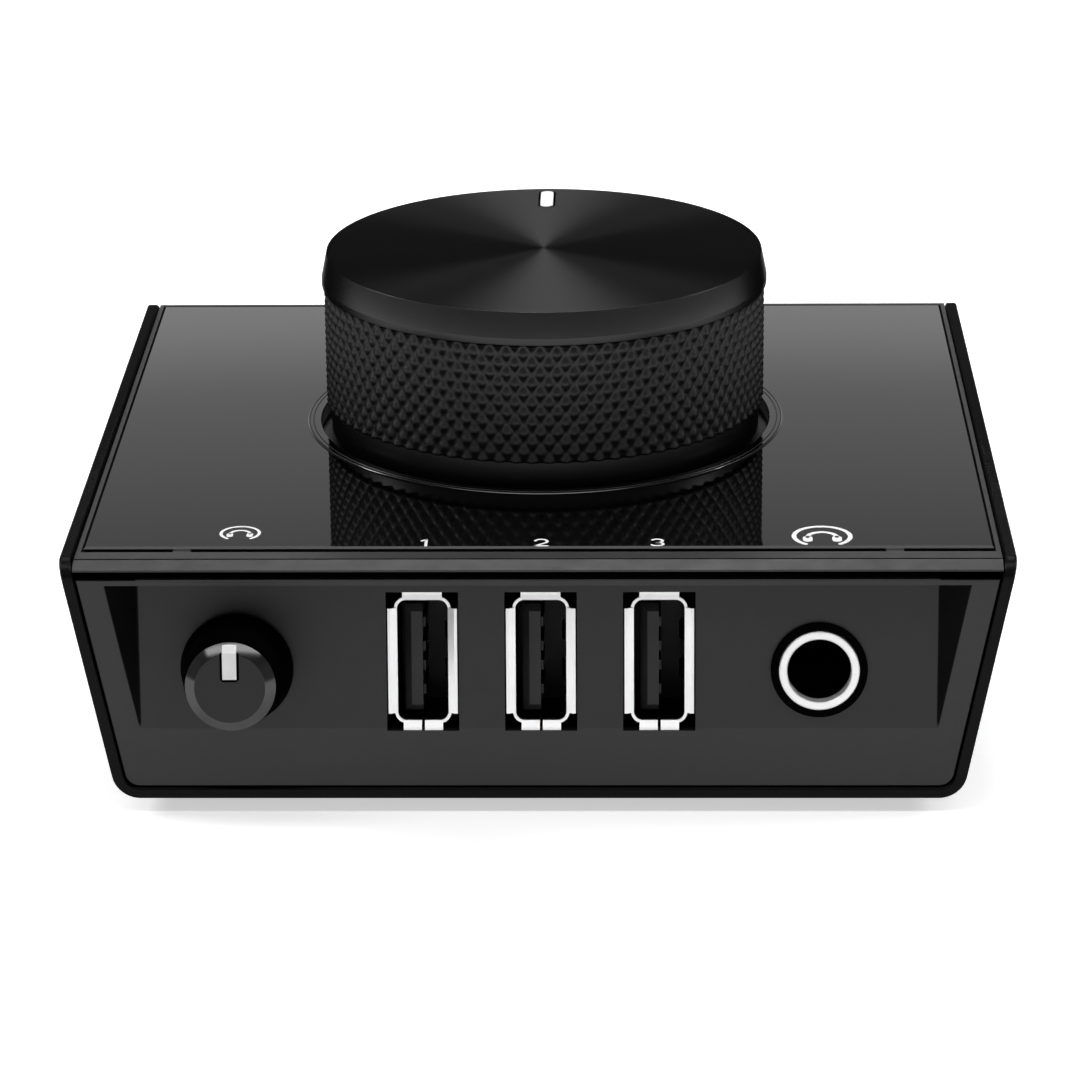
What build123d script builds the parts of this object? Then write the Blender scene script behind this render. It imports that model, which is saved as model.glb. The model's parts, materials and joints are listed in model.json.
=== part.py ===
from build123d import *
import os
from math import cos, pi, radians, sin, sqrt

# Lengths are in millimetres. Pieces are modelled in the case's own frame: X to the right, Y from
# the front to the rear with zero at mid depth, and Z up from the underside of the case.

# Case: one sheet bent into a channel whose sides lean outwards
case_width_top = 96.0
side_lean_run = 5.0
case_depth = 88.8
case_height = 25.7
sheet = 1.2
bend_radius = 2.9
side_corner_radius = 2.0
sheet_edge_round = 0.25

# Feet
foot_height = 1.6
foot_radius = 5.0
foot_round = 0.5
foot_side_inset = 14.0
foot_end_inset = 11.4

# Cuts run past the faces that they open by this much
overrun = 1.0

# Top frame and the plate that lies in it
frame_gap = 0.1
rim_width = 0.45
rear_rim = 0.6
plate_gap = 0.08
plate_drop = 0.5
plate_thickness = 2.0
plate_front_inset = 5.8
plate_front_gap = 0.7
plate_edge = 0.2
plate_tab_side_inset = 12.0
plate_tab_width = 1.8
rebate_run = 0.7
rebate_depth = 0.7
frame_floor = 1.5
frame_web = 0.8
frame_end_inset = 0.2
nose_inset = 0.1
nose_run = 2.1
nose_drop = 0.35
nose_tip = 0.2
nose_overhang = 1.8
crease = 0.3
lip_clearance = 0.25

# Front panel with its scooped floor
panel_gap = 0.12
panel_inset = 0.2
panel_top_drop = 1.95
panel_wall = 1.7
panel_edge = 0.12
scoop_ceiling = 0.6
scoop_low = 7.7
scoop_margin = 2.7
scoop_tilt = 8.0

# Panel feet, which the panel screws hold to the chassis
panel_foot_side_inset = 23.0
panel_foot_width = 7.0
panel_foot_depth = 6.0
panel_foot_height = 3.8
rear_panel_top_gap = 0.2

# Screws
screw_radius = 1.25
screw_head_radius = 2.6
screw_head_depth = 1.1
screw_clearance = 0.3
screw_bite_clearance = 0.05
base_screw_length = 11.5
panel_screw_length = 4.4
board_screw_radius = 0.8
board_screw_head_radius = 1.45
board_screw_head_height = 1.2
board_screw_length = 5.0

# Main board, the stand-offs under it and the posts of the top frame that clamp it
board_thickness = 1.6
board_side_inset = 2.0
board_front_inset = 19.2
board_rear_gap = 0.4
standoff_height = 4.0
standoff_radius = 3.0
post_radius = 2.4
post_side_inset = 3.7
post_front_gap = 0.4
post_rear_inset = 6.1
post_bore_depth = 8.0
notch_side_gap = 0.45
notch_end_gap = 2.8

# Front board, which lies parallel to the scooped floor
front_board_depth = 13.6
front_board_low = -3.0
front_board_top_inset = 0.4
front_board_left_margin = 7.8
front_board_right_gap = 0.45
front_boss_radius = 1.5
front_boss_height = 7.0

# Headers and ribbon between the boards
header_half_width = 9.0
header_front_low = 4.0
header_front_high = 8.0
header_height = 3.0
header_main_depth = 4.0
ribbon_radius = 2.5
ribbon_thickness = 0.4
ribbon_half_width = 8.0

# Front sockets for USB plugs
usb_count = 3
usb_centre_offset = 0.3
usb_pitch_share = 0.2951
usb_middle_height = 6.93
usb_cut_width = 7.3
usb_cut_height = 14.4
usb_inside_width = 5.12
usb_inside_height = 12.5
usb_shell_wall = 0.3
usb_corner_radius = 0.9
usb_lip_recess = 0.2
usb_lip_depth = 0.45
usb_lip_reach = 0.64
usb_side_lip_length = 10.9
usb_end_lip_length = 4.0
usb_seam = 0.3
usb_tongue_thickness = 1.84
usb_tongue_width = 11.1
usb_tongue_offset = 0.68
usb_tongue_recess = 1.6
usb_tongue_chamfer = 0.7
usb_base_depth = 4.0
usb_base_gap = 0.05
usb_contact_thickness = 0.25
usb_contact_width = 1.0
usb_contact_recess = 1.2
usb_contact_inner = 1.0
usb_contact_outer = 3.5
usb_spring_offset = 2.0
usb_spring_width = 1.8
usb_spring_rise = 0.5
usb_spring_length = 3.5
usb_spring_recess = 4.0

# Headphone socket, which takes a quarter-inch plug of 6.35 mm
plug_bore_radius = 3.25
plug_length = 31.0
phones_share = 0.7006
phones_middle_height = 6.1
sleeve_radius = 4.05
sleeve_stand = 0.7
sleeve_length = 6.6
sleeve_edge = 0.1
phones_washer_radius = 4.88
phones_washer_stand = 0.45
socket_fit = 0.1
jack_body_width = 12.0
jack_end_wall = 0.8
spring_width = 2.0
spring_thickness = 0.4
spring_front = 8.0
spring_length = 18.0
spring_channel_gap = 0.2
spring_channel_depth = 1.1

# Level knob on the front, with its potentiometer on the front board
level_share = 0.7502
level_middle_height = 6.4
level_pot_width = 9.5
level_pot_height = 11.0
level_pot_depth = 7.0
level_bush_radius = 3.4
level_bush_stand = 1.8
level_bush_hole_gap = 0.2
shaft_radius = 3.0
shaft_fit = 0.08
shaft_flat = 1.5
shaft_seat_gap = 0.3
level_shaft_root = 3.0
level_knob_gap = 0.6
level_knob_height = 8.85
level_knob_base_radius = 5.7
level_knob_rim_radius = 4.55
level_knob_face_radius = 3.6
level_knob_chamfer = 0.75
level_knob_skirt = 1.9
level_knob_skirt_radius = 4.3
level_shaft_cover = 1.5
level_pointer_width = 1.4
level_pointer_length = 3.65
level_pointer_depth = 0.6
level_pointer_gap = 0.2

# Volume knob on top, with its potentiometer under the top frame
volume_offset = 3.0
volume_rise = 19.18
volume_rim_radius = 24.15
volume_chamfer_run = 1.01
volume_chamfer_drop = 2.67
volume_rim_band = 0.9
volume_grip_step = 0.2
volume_grip_height = 12.95
volume_base_step = 0.75
volume_sink = 0.7
knurl_count = 84
knurl_rows = 6
knurl_depth = 0.45
volume_wall = 2.0
volume_crown = 2.2
volume_pointer_width = 1.4
volume_pointer_length = 6.3
volume_pointer_depth = 0.6
core_fit = 0.05
core_hub_radius = 6.0
core_disc = 2.0
core_ring_wall = 1.2
core_ring_height = 11.0
core_rib_count = 6
core_rib_width = 1.4
core_rib_height = 8.0
ring_gap = 0.45
ring_width = 1.43
ring_flange = 0.12
ring_edge = 0.05
ring_spigot_wall = 0.3
ring_spigot_depth = 1.4
ring_fit = 0.1
volume_pot_radius = 8.5
volume_pot_height = 9.5
volume_bush_radius = 4.5
volume_bush_stand = 3.4
volume_bush_hole_gap = 0.2
volume_washer_radius = 6.5
volume_washer = 0.5
volume_nut_radius = 7.0
volume_nut = 2.0
volume_shaft_root = 4.0
volume_shaft_rise = 10.0
volume_leg_pitch = 5.0
volume_leg_width = 1.2
volume_leg_count = 3

# Line output sockets at the rear
output_share = 0.488
output_axis_rise = 6.6
output_body_height = 12.0
output_nose_radius = 5.4
output_nose_gap = 0.2
output_nut_radius = 7.6
output_nut = 2.2
output_nose_stand = 2.7

# Computer link socket at the rear
link_width = 8.94
link_height = 3.26
link_wall = 0.3
link_depth = 7.4
link_recess = 0.3
link_cut_gap = 0.4
link_tongue_width = 6.7
link_tongue_thickness = 0.7
link_tongue_recess = 0.8
link_base_depth = 2.2

# Parts on the main board
chip_height = 1.4
chip_width = 10.0
chip_width_shares = (1.0, 0.7, 0.5)
chip_place_shares = ((-0.51, -0.135), (-0.756, 0.068), (0, -0.2))
capacitor_radius = 3.15
capacitor_height = 9.0
capacitor_count = 3
capacitor_pitch = 8.0
capacitor_side_inset = 10.0
capacitor_notch_gap = 0.6

# Levels and places that follow from the sizes above
case_front = -case_depth / 2
case_rear = case_depth / 2
case_bottom_half = case_width_top / 2 - side_lean_run
lean = side_lean_run / case_height
foot_x = case_bottom_half - foot_side_inset
foot_y = case_rear - foot_end_inset
plate_top = case_height - plate_drop
plate_low = plate_top - plate_thickness
frame_low = plate_low - frame_floor
plate_front = case_front + plate_front_inset
pocket_front = plate_front - plate_front_gap
rebate_front = pocket_front - rebate_run
rebate_low = plate_top - rebate_depth
pocket_rear = case_rear - frame_end_inset - rear_rim
panel_front = case_front + panel_inset
panel_rear = case_rear - panel_inset
panel_top = case_height - panel_top_drop
panel_side = sheet + panel_gap
panel_foot_x = case_bottom_half - panel_foot_side_inset
plate_tab_x = case_width_top / 2 - plate_tab_side_inset
scoop_high = panel_top - scoop_ceiling
tilt_sin = sin(radians(scoop_tilt))
tilt_cos = cos(radians(scoop_tilt))
floor_high = (scoop_high - scoop_low) / tilt_cos
front_board_high = floor_high - front_board_top_inset
board_low = sheet + standoff_height
board_top = board_low + board_thickness
board_half_width = case_bottom_half - board_side_inset
board_front_y = case_front + board_front_inset
board_rear_y = panel_rear - panel_wall - board_rear_gap
front_board_back = front_board_depth + board_thickness
jack_depth = plug_length + jack_end_wall
notch_rear_y = panel_front + jack_depth + notch_end_gap
post_x = board_half_width - post_side_inset
post_front_y = notch_rear_y + post_radius + post_front_gap
post_rear_y = board_rear_y - post_rear_inset
scoop_half = case_bottom_half + lean * scoop_low - panel_side * sqrt(1 + lean**2) - scoop_margin
phones_x = phones_share * scoop_half
level_x = -level_share * scoop_half
usb_pitch = usb_pitch_share * scoop_half
front_board_left = level_x - front_board_left_margin
front_board_right = phones_x - jack_body_width / 2 - front_board_right_gap
output_x = output_share * board_half_width
capacitor_y = notch_rear_y + capacitor_notch_gap + capacitor_radius
volume_top = plate_top + volume_rise
volume_face_radius = volume_rim_radius - volume_chamfer_run
volume_grip_radius = volume_rim_radius - volume_grip_step
volume_base_radius = volume_rim_radius - volume_base_step
volume_low = plate_top - volume_sink
volume_rim_top = volume_top - volume_chamfer_drop
volume_grip_top = volume_rim_top - volume_rim_band
volume_grip_low = volume_grip_top - volume_grip_height
volume_inside_top = volume_top - volume_crown
volume_inside_radius = volume_base_radius - volume_wall
knurl_root_radius = volume_grip_radius - knurl_depth
knurl_bore_radius = volume_inside_radius + volume_wall / 2
ring_inner_radius = volume_rim_radius + ring_gap
ring_spigot_radius = ring_inner_radius + ring_spigot_wall
ring_radius = ring_inner_radius + ring_width
level_reach = level_knob_height * tilt_cos + (level_knob_face_radius - level_middle_height) * tilt_sin
front_reach = level_reach - panel_inset
rear_reach = output_nose_stand - panel_inset
case_middle_y = (front_reach - rear_reach) / 2

# The scooped floor: X across, Y up the floor from its lower edge, Z out of it
FLOOR = Plane(origin=(0, panel_front, scoop_low), x_dir=(1, 0, 0), z_dir=(0, -tilt_cos, tilt_sin))
# The rear panel's outer face: Y up, Z out of it
REAR = Plane(origin=(0, panel_rear, 0), x_dir=(-1, 0, 0), z_dir=(0, 1, 0))
# Where the case's own frame stands: on its feet, with the whole part's box centred
STAND = Pos(0, case_middle_y, foot_height)


def half_width(height, inset):
    """Half the width between the leaning sides, set in square to their outer faces."""
    return case_bottom_half + lean * height - inset * sqrt(1 + lean**2)


def trapezium(inset, low, high, corner=0):
    """Cross-section between the leaning sides, with its lower corners rounded."""
    low_half = half_width(low, inset)
    high_half = half_width(high, inset)
    points = [(-low_half, low), (low_half, low), (high_half, high), (-high_half, high)]
    section = make_face(Polyline(*points, close=True))
    if corner > 0:
        section = fillet(section.vertices().group_by(Axis.Y)[0], corner)
    return section


def along_case(section, front, rear):
    """Cross-section carried from front to rear."""
    plane = Plane(origin=(0, rear, 0), x_dir=(1, 0, 0), z_dir=(0, -1, 0))
    return extrude(plane * section, rear - front)


def slab(low, high):
    """Box between two opposite corners."""
    size = [end - start for start, end in zip(low, high)]
    return Pos(*low) * Box(*size, align=(Align.MIN, Align.MIN, Align.MIN))


def rod(radius, low, high):
    """Cylinder about Z between two heights."""
    return Pos(0, 0, low) * Cylinder(radius, high - low, align=(Align.CENTER, Align.CENTER, Align.MIN))


def tube(radius, bore, low, high):
    """Cylinder about Z with a bore right through it."""
    return rod(radius, low, high) - rod(bore, low - overrun, high + overrun)


def turned(points):
    """Solid turned about Z from half its outline, given as radius and height."""
    return revolve(Plane.XZ * make_face(Polyline(*points, close=True)), Axis.Z)


def flatted(radius, flat, low, high):
    """Rod with a flat along one side, as potentiometer shafts have."""
    return rod(radius, low, high) - slab((-radius, radius - flat, low - overrun),
                                         (radius, radius + overrun, high + overrun))


def countersunk(radius, head_radius, head_depth, length):
    """Countersunk screw, or the hole for one, whose head lies at the underside of the case."""
    return turned([(0, 0), (head_radius, 0), (radius, head_depth), (radius, length), (0, length)])


def on_floor(x, up):
    """Place on the scooped floor."""
    return FLOOR.location * Pos(x, up, 0)


def on_rear(x, up):
    """Place on the rear panel's outer face, by the case's own X and Z."""
    return REAR.location * Pos(-x, up, 0)


def base_screw_places():
    return [(x, y) for x in (-post_x, post_x) for y in (post_front_y, post_rear_y)]


def panel_screw_places():
    front = panel_front + panel_wall + panel_foot_depth / 2
    rear = panel_rear - panel_wall - panel_foot_depth / 2
    return [(x, y) for x in (-panel_foot_x, panel_foot_x) for y in (front, rear)]


def usb_places():
    middle = (usb_count - 1) / 2
    return [usb_centre_offset + (i - middle) * usb_pitch for i in range(usb_count)]


def front_boss_places():
    """Places for the front board's bosses: between the sockets' row and its neighbours."""
    cut = usb_cut_width / 2
    left = (usb_places()[0] - cut + level_x + level_pot_width / 2) / 2
    right = (usb_places()[-1] + cut + phones_x - jack_body_width / 2) / 2
    return [left, right]


def chassis():
    """Bent sheet with rounded upper corners and countersunk holes in its floor."""
    outside = trapezium(0, 0, case_height, bend_radius)
    inside = trapezium(sheet, sheet, case_height + overrun, bend_radius - sheet)
    body = along_case(outside - inside, case_front, case_rear)
    body = fillet(body.edges().filter_by(Axis.X).group_by(Axis.Z)[-1], side_corner_radius)
    ends = [edge for end in body.faces().filter_by(Axis.Y) for edge in end.edges()]
    body = fillet(ends, sheet_edge_round)
    hole = countersunk(screw_radius + screw_clearance, screw_head_radius + screw_clearance,
                       screw_head_depth, sheet + overrun)
    for x, y in base_screw_places() + panel_screw_places():
        body -= Pos(x, y, 0) * hole
    return body


def foot():
    """Rubber foot with a rounded lower edge, standing on the floor."""
    body = rod(foot_radius, -foot_height, 0)
    return fillet(body.edges().group_by(Axis.Z)[0], foot_round)


def top_frame():
    """Tray for the plate, with a creased lip over the front panel and posts down to the board."""
    nose = case_front + nose_inset
    bend = nose + nose_run
    step = nose + nose_overhang
    web_front = pocket_front - frame_web
    rear = case_rear - frame_end_inset
    tip_top = plate_top - nose_drop
    tip_low = tip_top - nose_tip
    lip_low = panel_top + lip_clearance
    outline = [(nose, tip_low), (step, tip_low), (step, lip_low), (web_front, lip_low),
               (web_front, frame_low), (rear, frame_low), (rear, plate_top),
               (bend + crease, plate_top), (bend + crease, plate_top - crease), (bend, plate_top - crease),
               (bend, plate_top), (nose, tip_top)]
    profile = make_face(Polyline(*outline, close=True))
    side = sheet + frame_gap
    body = along_case(trapezium(side, frame_low, plate_top), nose, rear)
    body &= extrude(Plane.YZ * profile, case_width_top, both=True)
    pocket = trapezium(side + rim_width, plate_low, plate_top + overrun)
    body -= along_case(pocket, pocket_front, pocket_rear)
    rebate = trapezium(side + rim_width, rebate_low, plate_top + overrun)
    body -= along_case(rebate, rebate_front, plate_front)
    body -= Pos(0, volume_offset) * rod(volume_bush_radius + volume_bush_hole_gap, 0, plate_top)
    post = rod(post_radius, board_top, frame_low)
    post -= rod(screw_radius + screw_bite_clearance, board_top - overrun, board_top + post_bore_depth)
    for x, y in base_screw_places():
        body += Pos(x, y) * post
    return body


def top_plate():
    """Gloss plate with the well for the volume knob and two locating tabs at its front edge."""
    side = sheet + frame_gap + rim_width + plate_gap
    body = along_case(trapezium(side, plate_low, plate_top), plate_front, pocket_rear - plate_gap)
    body = chamfer(body.faces().sort_by(Axis.Z)[-1].edges(), plate_edge)
    for x in (-plate_tab_x, plate_tab_x):
        body += slab((x - plate_tab_width / 2, rebate_front, rebate_low),
                     (x + plate_tab_width / 2, plate_front + plate_edge, plate_top - plate_edge))
    return body - Pos(0, volume_offset) * rod(ring_spigot_radius + ring_fit, 0, case_height)


def knob_ring():
    """Trim ring round the knob's well: a flange on the plate and a spigot in its hole."""
    top = plate_top + ring_flange
    low = plate_top - ring_spigot_depth
    points = [(ring_inner_radius, low), (ring_spigot_radius, low), (ring_spigot_radius, plate_top),
              (ring_radius, plate_top), (ring_radius, top - ring_edge), (ring_radius - ring_edge, top),
              (ring_inner_radius + ring_edge, top), (ring_inner_radius, top - ring_edge)]
    return Pos(0, volume_offset) * turned(points)


def scoop():
    """Wedge cut from the front panel: a leaning floor between two triangular flanks."""
    high_half = half_width(scoop_high, panel_side) - scoop_margin
    depth = (scoop_high - scoop_low) * tilt_sin / tilt_cos
    left_low, right_low = [(x, panel_front, scoop_low) for x in (-scoop_half, scoop_half)]
    left_high, right_high = [(x, panel_front, scoop_high) for x in (-high_half, high_half)]
    left_deep, right_deep = [(x, panel_front + depth, scoop_high) for x in (-scoop_half, scoop_half)]
    faces = [(left_low, right_low, right_high, left_high), (left_low, right_low, right_deep, left_deep),
             (left_high, right_high, right_deep, left_deep), (left_low, left_high, left_deep),
             (right_low, right_high, right_deep)]
    return Solid(Shell([Face(Wire.make_polygon(points)) for points in faces]))


def panel_feet(wall_back, inwards):
    """Two blocks behind a panel that sit on the chassis and take the panel screws."""
    feet = []
    for x in (-panel_foot_x, panel_foot_x):
        ends = sorted((wall_back, wall_back + inwards * panel_foot_depth))
        feet.append(slab((x - panel_foot_width / 2, ends[0], sheet),
                         (x + panel_foot_width / 2, ends[1], sheet + panel_foot_height)))
    bore = rod(screw_radius + screw_bite_clearance, 0, panel_screw_length + screw_bite_clearance)
    return [block - Pos(block.center().X, block.center().Y) * bore for block in feet]


def front_panel():
    """Moulded panel: a plate, the leaning floor behind its scoop, and bosses for the front board."""
    corner = bend_radius - panel_side
    plate = trapezium(panel_side, panel_side, panel_top, corner)
    body = along_case(plate, panel_front, panel_front + panel_wall)
    body = chamfer(body.faces().sort_by(Axis.Y)[0].edges(), panel_edge)
    back_half = scoop_half + panel_wall
    backing = slab((-back_half, 0, -panel_wall), (back_half, floor_high + panel_wall, panel_wall))
    keep = slab((-back_half, panel_front + panel_edge, scoop_low - panel_wall),
                (back_half, plate_front, panel_top))
    body += (FLOOR.location * backing) & keep
    body -= scoop()
    for foot_block in panel_feet(panel_front + panel_wall, 1):
        body += foot_block
    boss = rod(front_boss_radius, -front_board_depth, -panel_wall / 2)
    boss -= rod(board_screw_radius + screw_bite_clearance, -front_board_depth - overrun,
                board_screw_length - front_board_depth)
    for x in front_boss_places():
        body += on_floor(x, front_boss_height) * boss
    cut = panel_wall + overrun
    for x in usb_places():
        body -= on_floor(x, usb_middle_height) * Box(usb_cut_width, usb_cut_height, 2 * cut)
    body -= on_floor(phones_x, phones_middle_height) * rod(sleeve_radius + socket_fit, -cut, cut)
    body -= on_floor(level_x, level_middle_height) * rod(level_bush_radius + level_bush_hole_gap, -cut, cut)
    return body


def rear_panel():
    """Flat panel with holes for the output sockets and the link socket."""
    top = frame_low - rear_panel_top_gap
    corner = bend_radius - panel_side
    body = along_case(trapezium(panel_side, panel_side, top, corner), panel_rear - panel_wall, panel_rear)
    body = chamfer(body.faces().sort_by(Axis.Y)[-1].edges(), panel_edge)
    for foot_block in panel_feet(panel_rear - panel_wall, -1):
        body += foot_block
    cut = panel_wall + overrun
    for x in (-output_x, output_x):
        hole = rod(output_nose_radius + output_nose_gap, -cut, cut)
        body -= on_rear(x, board_top + output_axis_rise) * hole
    slot = SlotOverall(link_width + link_cut_gap, link_height + link_cut_gap)
    body -= on_rear(0, board_top + link_height / 2) * extrude(slot, cut, both=True)
    return body


def base_screws():
    """Screws up through the chassis, stand-offs and board into the top frame's posts."""
    screw = countersunk(screw_radius, screw_head_radius, screw_head_depth, base_screw_length)
    return [Pos(x, y) * screw for x, y in base_screw_places()]


def panel_screws():
    """Screws up through the chassis into the feet of both panels."""
    screw = countersunk(screw_radius, screw_head_radius, screw_head_depth, panel_screw_length)
    return [Pos(x, y) * screw for x, y in panel_screw_places()]


def board_standoffs():
    """Hexagonal spacers between the chassis and the main board."""
    blank = extrude(RegularPolygon(standoff_radius, 6), standoff_height)
    blank -= rod(screw_radius + screw_clearance, -overrun, standoff_height + overrun)
    return [Pos(x, y, sheet) * blank for x, y in base_screw_places()]


def main_board():
    """Board with screw holes and a notch that lets the headphone socket pass."""
    body = slab((-board_half_width, board_front_y, board_low), (board_half_width, board_rear_y, board_top))
    notch_half = jack_body_width / 2 + notch_side_gap
    body -= slab((phones_x - notch_half, board_front_y - overrun, 0),
                 (phones_x + notch_half, notch_rear_y, case_height))
    for x, y in base_screw_places():
        body -= Pos(x, y) * rod(screw_radius + screw_clearance, 0, case_height)
    return body


def front_board():
    """Board parallel to the scooped floor, which carries the USB sockets and the level control."""
    body = slab((front_board_left, front_board_low, -front_board_back),
                (front_board_right, front_board_high, -front_board_depth))
    for x in front_boss_places():
        hole = rod(board_screw_radius + screw_bite_clearance, -front_board_back - overrun, 0)
        body -= Pos(x, front_boss_height) * hole
    return FLOOR.location * body


def front_board_screws():
    """Pan-head screws through the front board into the panel's bosses."""
    low = -front_board_back
    points = [(0, low - board_screw_head_height), (board_screw_head_radius, low - board_screw_head_height),
              (board_screw_head_radius, low), (board_screw_radius, low),
              (board_screw_radius, low + board_screw_length), (0, low + board_screw_length)]
    return [on_floor(x, front_boss_height) * turned(points) for x in front_boss_places()]


def ribbon_start():
    """Middle of the front header's back face, where the ribbon leaves it."""
    up = (header_front_low + header_front_high) / 2
    return FLOOR.from_local_coords(Vector(0, up, -front_board_back - header_height))


def link_headers():
    """Header on the back of the front board, and header on the main board below the ribbon's end."""
    front = slab((-header_half_width, header_front_low, -front_board_back - header_height),
                 (header_half_width, header_front_high, -front_board_back))
    start = ribbon_start()
    end_y = start.Y + ribbon_radius * (1 - tilt_sin)
    end_z = start.Z - ribbon_radius * tilt_cos
    main = slab((-header_half_width, end_y - header_main_depth / 2, board_top),
                (header_half_width, end_y + header_main_depth / 2, end_z))
    return [FLOOR.location * front, main]


def link_ribbon():
    """Flat cable that bends from the front header down into the main one."""
    start = ribbon_start()
    centre = (0, start.Y - ribbon_radius * tilt_sin, start.Z - ribbon_radius * tilt_cos)
    strip = Plane(origin=centre, x_dir=(1, 0, 0), z_dir=(0, tilt_cos, -tilt_sin))
    section = strip * Pos(0, ribbon_radius) * Rectangle(2 * ribbon_half_width, ribbon_thickness)
    return revolve(section, Axis(centre, (-1, 0, 0)), 90 - scoop_tilt)


def usb_lip(length):
    """Flared tab that leans out past one wall of a USB shell, along X at the origin."""
    front = -usb_lip_recess
    back = front - usb_lip_depth
    points = [(0, back), (usb_shell_wall, back), (usb_shell_wall + usb_lip_reach, front),
              (usb_lip_reach, front)]
    return extrude(Plane.XZ * make_face(Polyline(*points, close=True)), length / 2, both=True)


def usb_shell():
    """Folded metal shell: a rounded tube, flared lips, a seam and two contact springs."""
    front = -usb_lip_recess - usb_lip_depth
    inside = RectangleRounded(usb_inside_width, usb_inside_height, usb_corner_radius)
    outside = offset(inside, usb_shell_wall)
    body = Pos(0, 0, -front_board_depth) * extrude(outside - inside, front_board_depth + front)
    side = Pos(usb_inside_width / 2) * usb_lip(usb_side_lip_length)
    end = Pos(usb_inside_height / 2) * usb_lip(usb_end_lip_length)
    for turn, lip in ((0, side), (90, end), (180, side), (270, end)):
        body += Rot(0, 0, turn) * lip
    body -= slab((-usb_seam / 2, -usb_cut_height, -front_board_depth - overrun),
                 (usb_seam / 2, 0, overrun))
    wall = usb_inside_width / 2
    tip = -usb_spring_recess
    bump = [(wall, tip), (wall - usb_spring_rise, tip - usb_spring_length / 2),
            (wall, tip - usb_spring_length)]
    spring = extrude(Plane.XZ * make_face(Polyline(*bump, close=True)), usb_spring_width / 2, both=True)
    for up in (-usb_spring_offset, usb_spring_offset):
        body += Pos(0, up) * spring
    return body


def usb_tongue():
    """Insulator: a base in the back of the shell and a tongue with a bevelled front."""
    width = usb_inside_width - 2 * usb_base_gap
    height = usb_inside_height - 2 * usb_base_gap
    base = RectangleRounded(width, height, usb_corner_radius)
    body = Pos(0, 0, -front_board_depth) * extrude(base, usb_base_depth)
    left = usb_tongue_offset - usb_inside_width / 2
    tongue = slab((left, -usb_tongue_width / 2, usb_base_depth - front_board_depth),
                  (left + usb_tongue_thickness, usb_tongue_width / 2, -usb_tongue_recess))
    front = tongue.faces().sort_by(Axis.Z)[-1].edges()
    bevelled = front.sort_by(Axis.X)[:1] + front.filter_by(Axis.X)
    return body + chamfer(bevelled, usb_tongue_chamfer)


def usb_contacts():
    """Contact strips on the open side of the tongue."""
    left = usb_tongue_offset - usb_inside_width / 2 + usb_tongue_thickness
    strips = []
    for up in (-usb_contact_outer, -usb_contact_inner, usb_contact_inner, usb_contact_outer):
        strips.append(slab((left, up - usb_contact_width / 2, usb_base_depth - front_board_depth),
                           (left + usb_contact_thickness, up + usb_contact_width / 2,
                            -usb_tongue_recess - usb_contact_recess)))
    return strips


def jack_bore(depth):
    """Space inside a socket body for the plug and for the springs beside it."""
    bore = rod(plug_bore_radius, -depth + jack_end_wall, overrun)
    half = spring_width / 2 + spring_channel_gap
    reach = plug_bore_radius + spring_channel_depth
    return bore + slab((-half, -reach, -spring_front - spring_length), (half, reach, -spring_front))


def jack_springs():
    """Contact springs above and below the plug, seated in the socket body's channel."""
    reach = plug_bore_radius + spring_channel_depth
    low = -spring_front - spring_length
    upper = slab((-spring_width / 2, reach - spring_thickness, low),
                 (spring_width / 2, reach, -spring_front))
    return [upper, Rot(0, 0, 180) * upper]


def phones_sleeve():
    """Chrome sleeve that the plug goes into, held in the floor of the scoop."""
    low = sleeve_stand - sleeve_length
    body = tube(sleeve_radius, plug_bore_radius, low, sleeve_stand)
    return chamfer(body.edges().group_by(Axis.Z)[-1], sleeve_edge)


def phones_washer():
    """Black washer round the sleeve, on the floor of the scoop."""
    body = tube(phones_washer_radius, sleeve_radius + socket_fit, 0, phones_washer_stand)
    return chamfer(body.edges().group_by(Axis.Z)[-1].sort_by(SortBy.RADIUS)[-1], sleeve_edge)


def phones_jack_body():
    """Socket body behind the panel, bored for the sleeve, the plug and the springs."""
    half = jack_body_width / 2
    body = slab((-half, -half, -jack_depth), (half, half, -panel_wall))
    body -= jack_bore(jack_depth)
    return body - rod(sleeve_radius + socket_fit, sleeve_stand - sleeve_length, 0)


def level_pot_body():
    """Potentiometer body on the front board, with a blind bore for its shaft."""
    front = level_pot_depth - front_board_depth
    body = Pos(0, 0, -front_board_depth) * Box(level_pot_width, level_pot_height, level_pot_depth,
                                                align=(Align.CENTER, Align.CENTER, Align.MIN))
    return body - rod(shaft_radius + shaft_fit, front - level_shaft_root, 0)


def level_bush():
    """Bush that guides the level shaft through the panel."""
    return tube(level_bush_radius, shaft_radius + shaft_fit, level_pot_depth - front_board_depth,
                level_bush_stand)


def level_shaft():
    """Shaft of the level control, with a flat where the knob grips it."""
    root = level_pot_depth - front_board_depth - level_shaft_root + shaft_seat_gap
    grip = level_knob_gap + level_knob_skirt
    tip = level_knob_height - level_shaft_cover
    return rod(shaft_radius, root, grip) + flatted(shaft_radius, shaft_flat, grip, tip)


def level_knob_blank():
    """Tapered knob with a bevelled face, before its bore and pointer slot."""
    shoulder = level_knob_height - level_knob_chamfer
    return turned([(0, level_knob_gap), (level_knob_base_radius, level_knob_gap),
                   (level_knob_rim_radius, shoulder), (level_knob_face_radius, level_knob_height),
                   (0, level_knob_height)])


def level_pointer_bar(gap):
    """Bar along the level knob's radius at twelve o'clock, widened by a gap at its sides and inner end."""
    half = level_pointer_width / 2 + gap
    inner = level_knob_rim_radius - level_pointer_length - gap
    return slab((-half, inner, level_knob_height - level_pointer_depth),
                (half, level_knob_rim_radius, level_knob_height))


def level_pointer():
    """White bar let into a slot in the face and bevel of the level knob."""
    return level_pointer_bar(0) & level_knob_blank()


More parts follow.
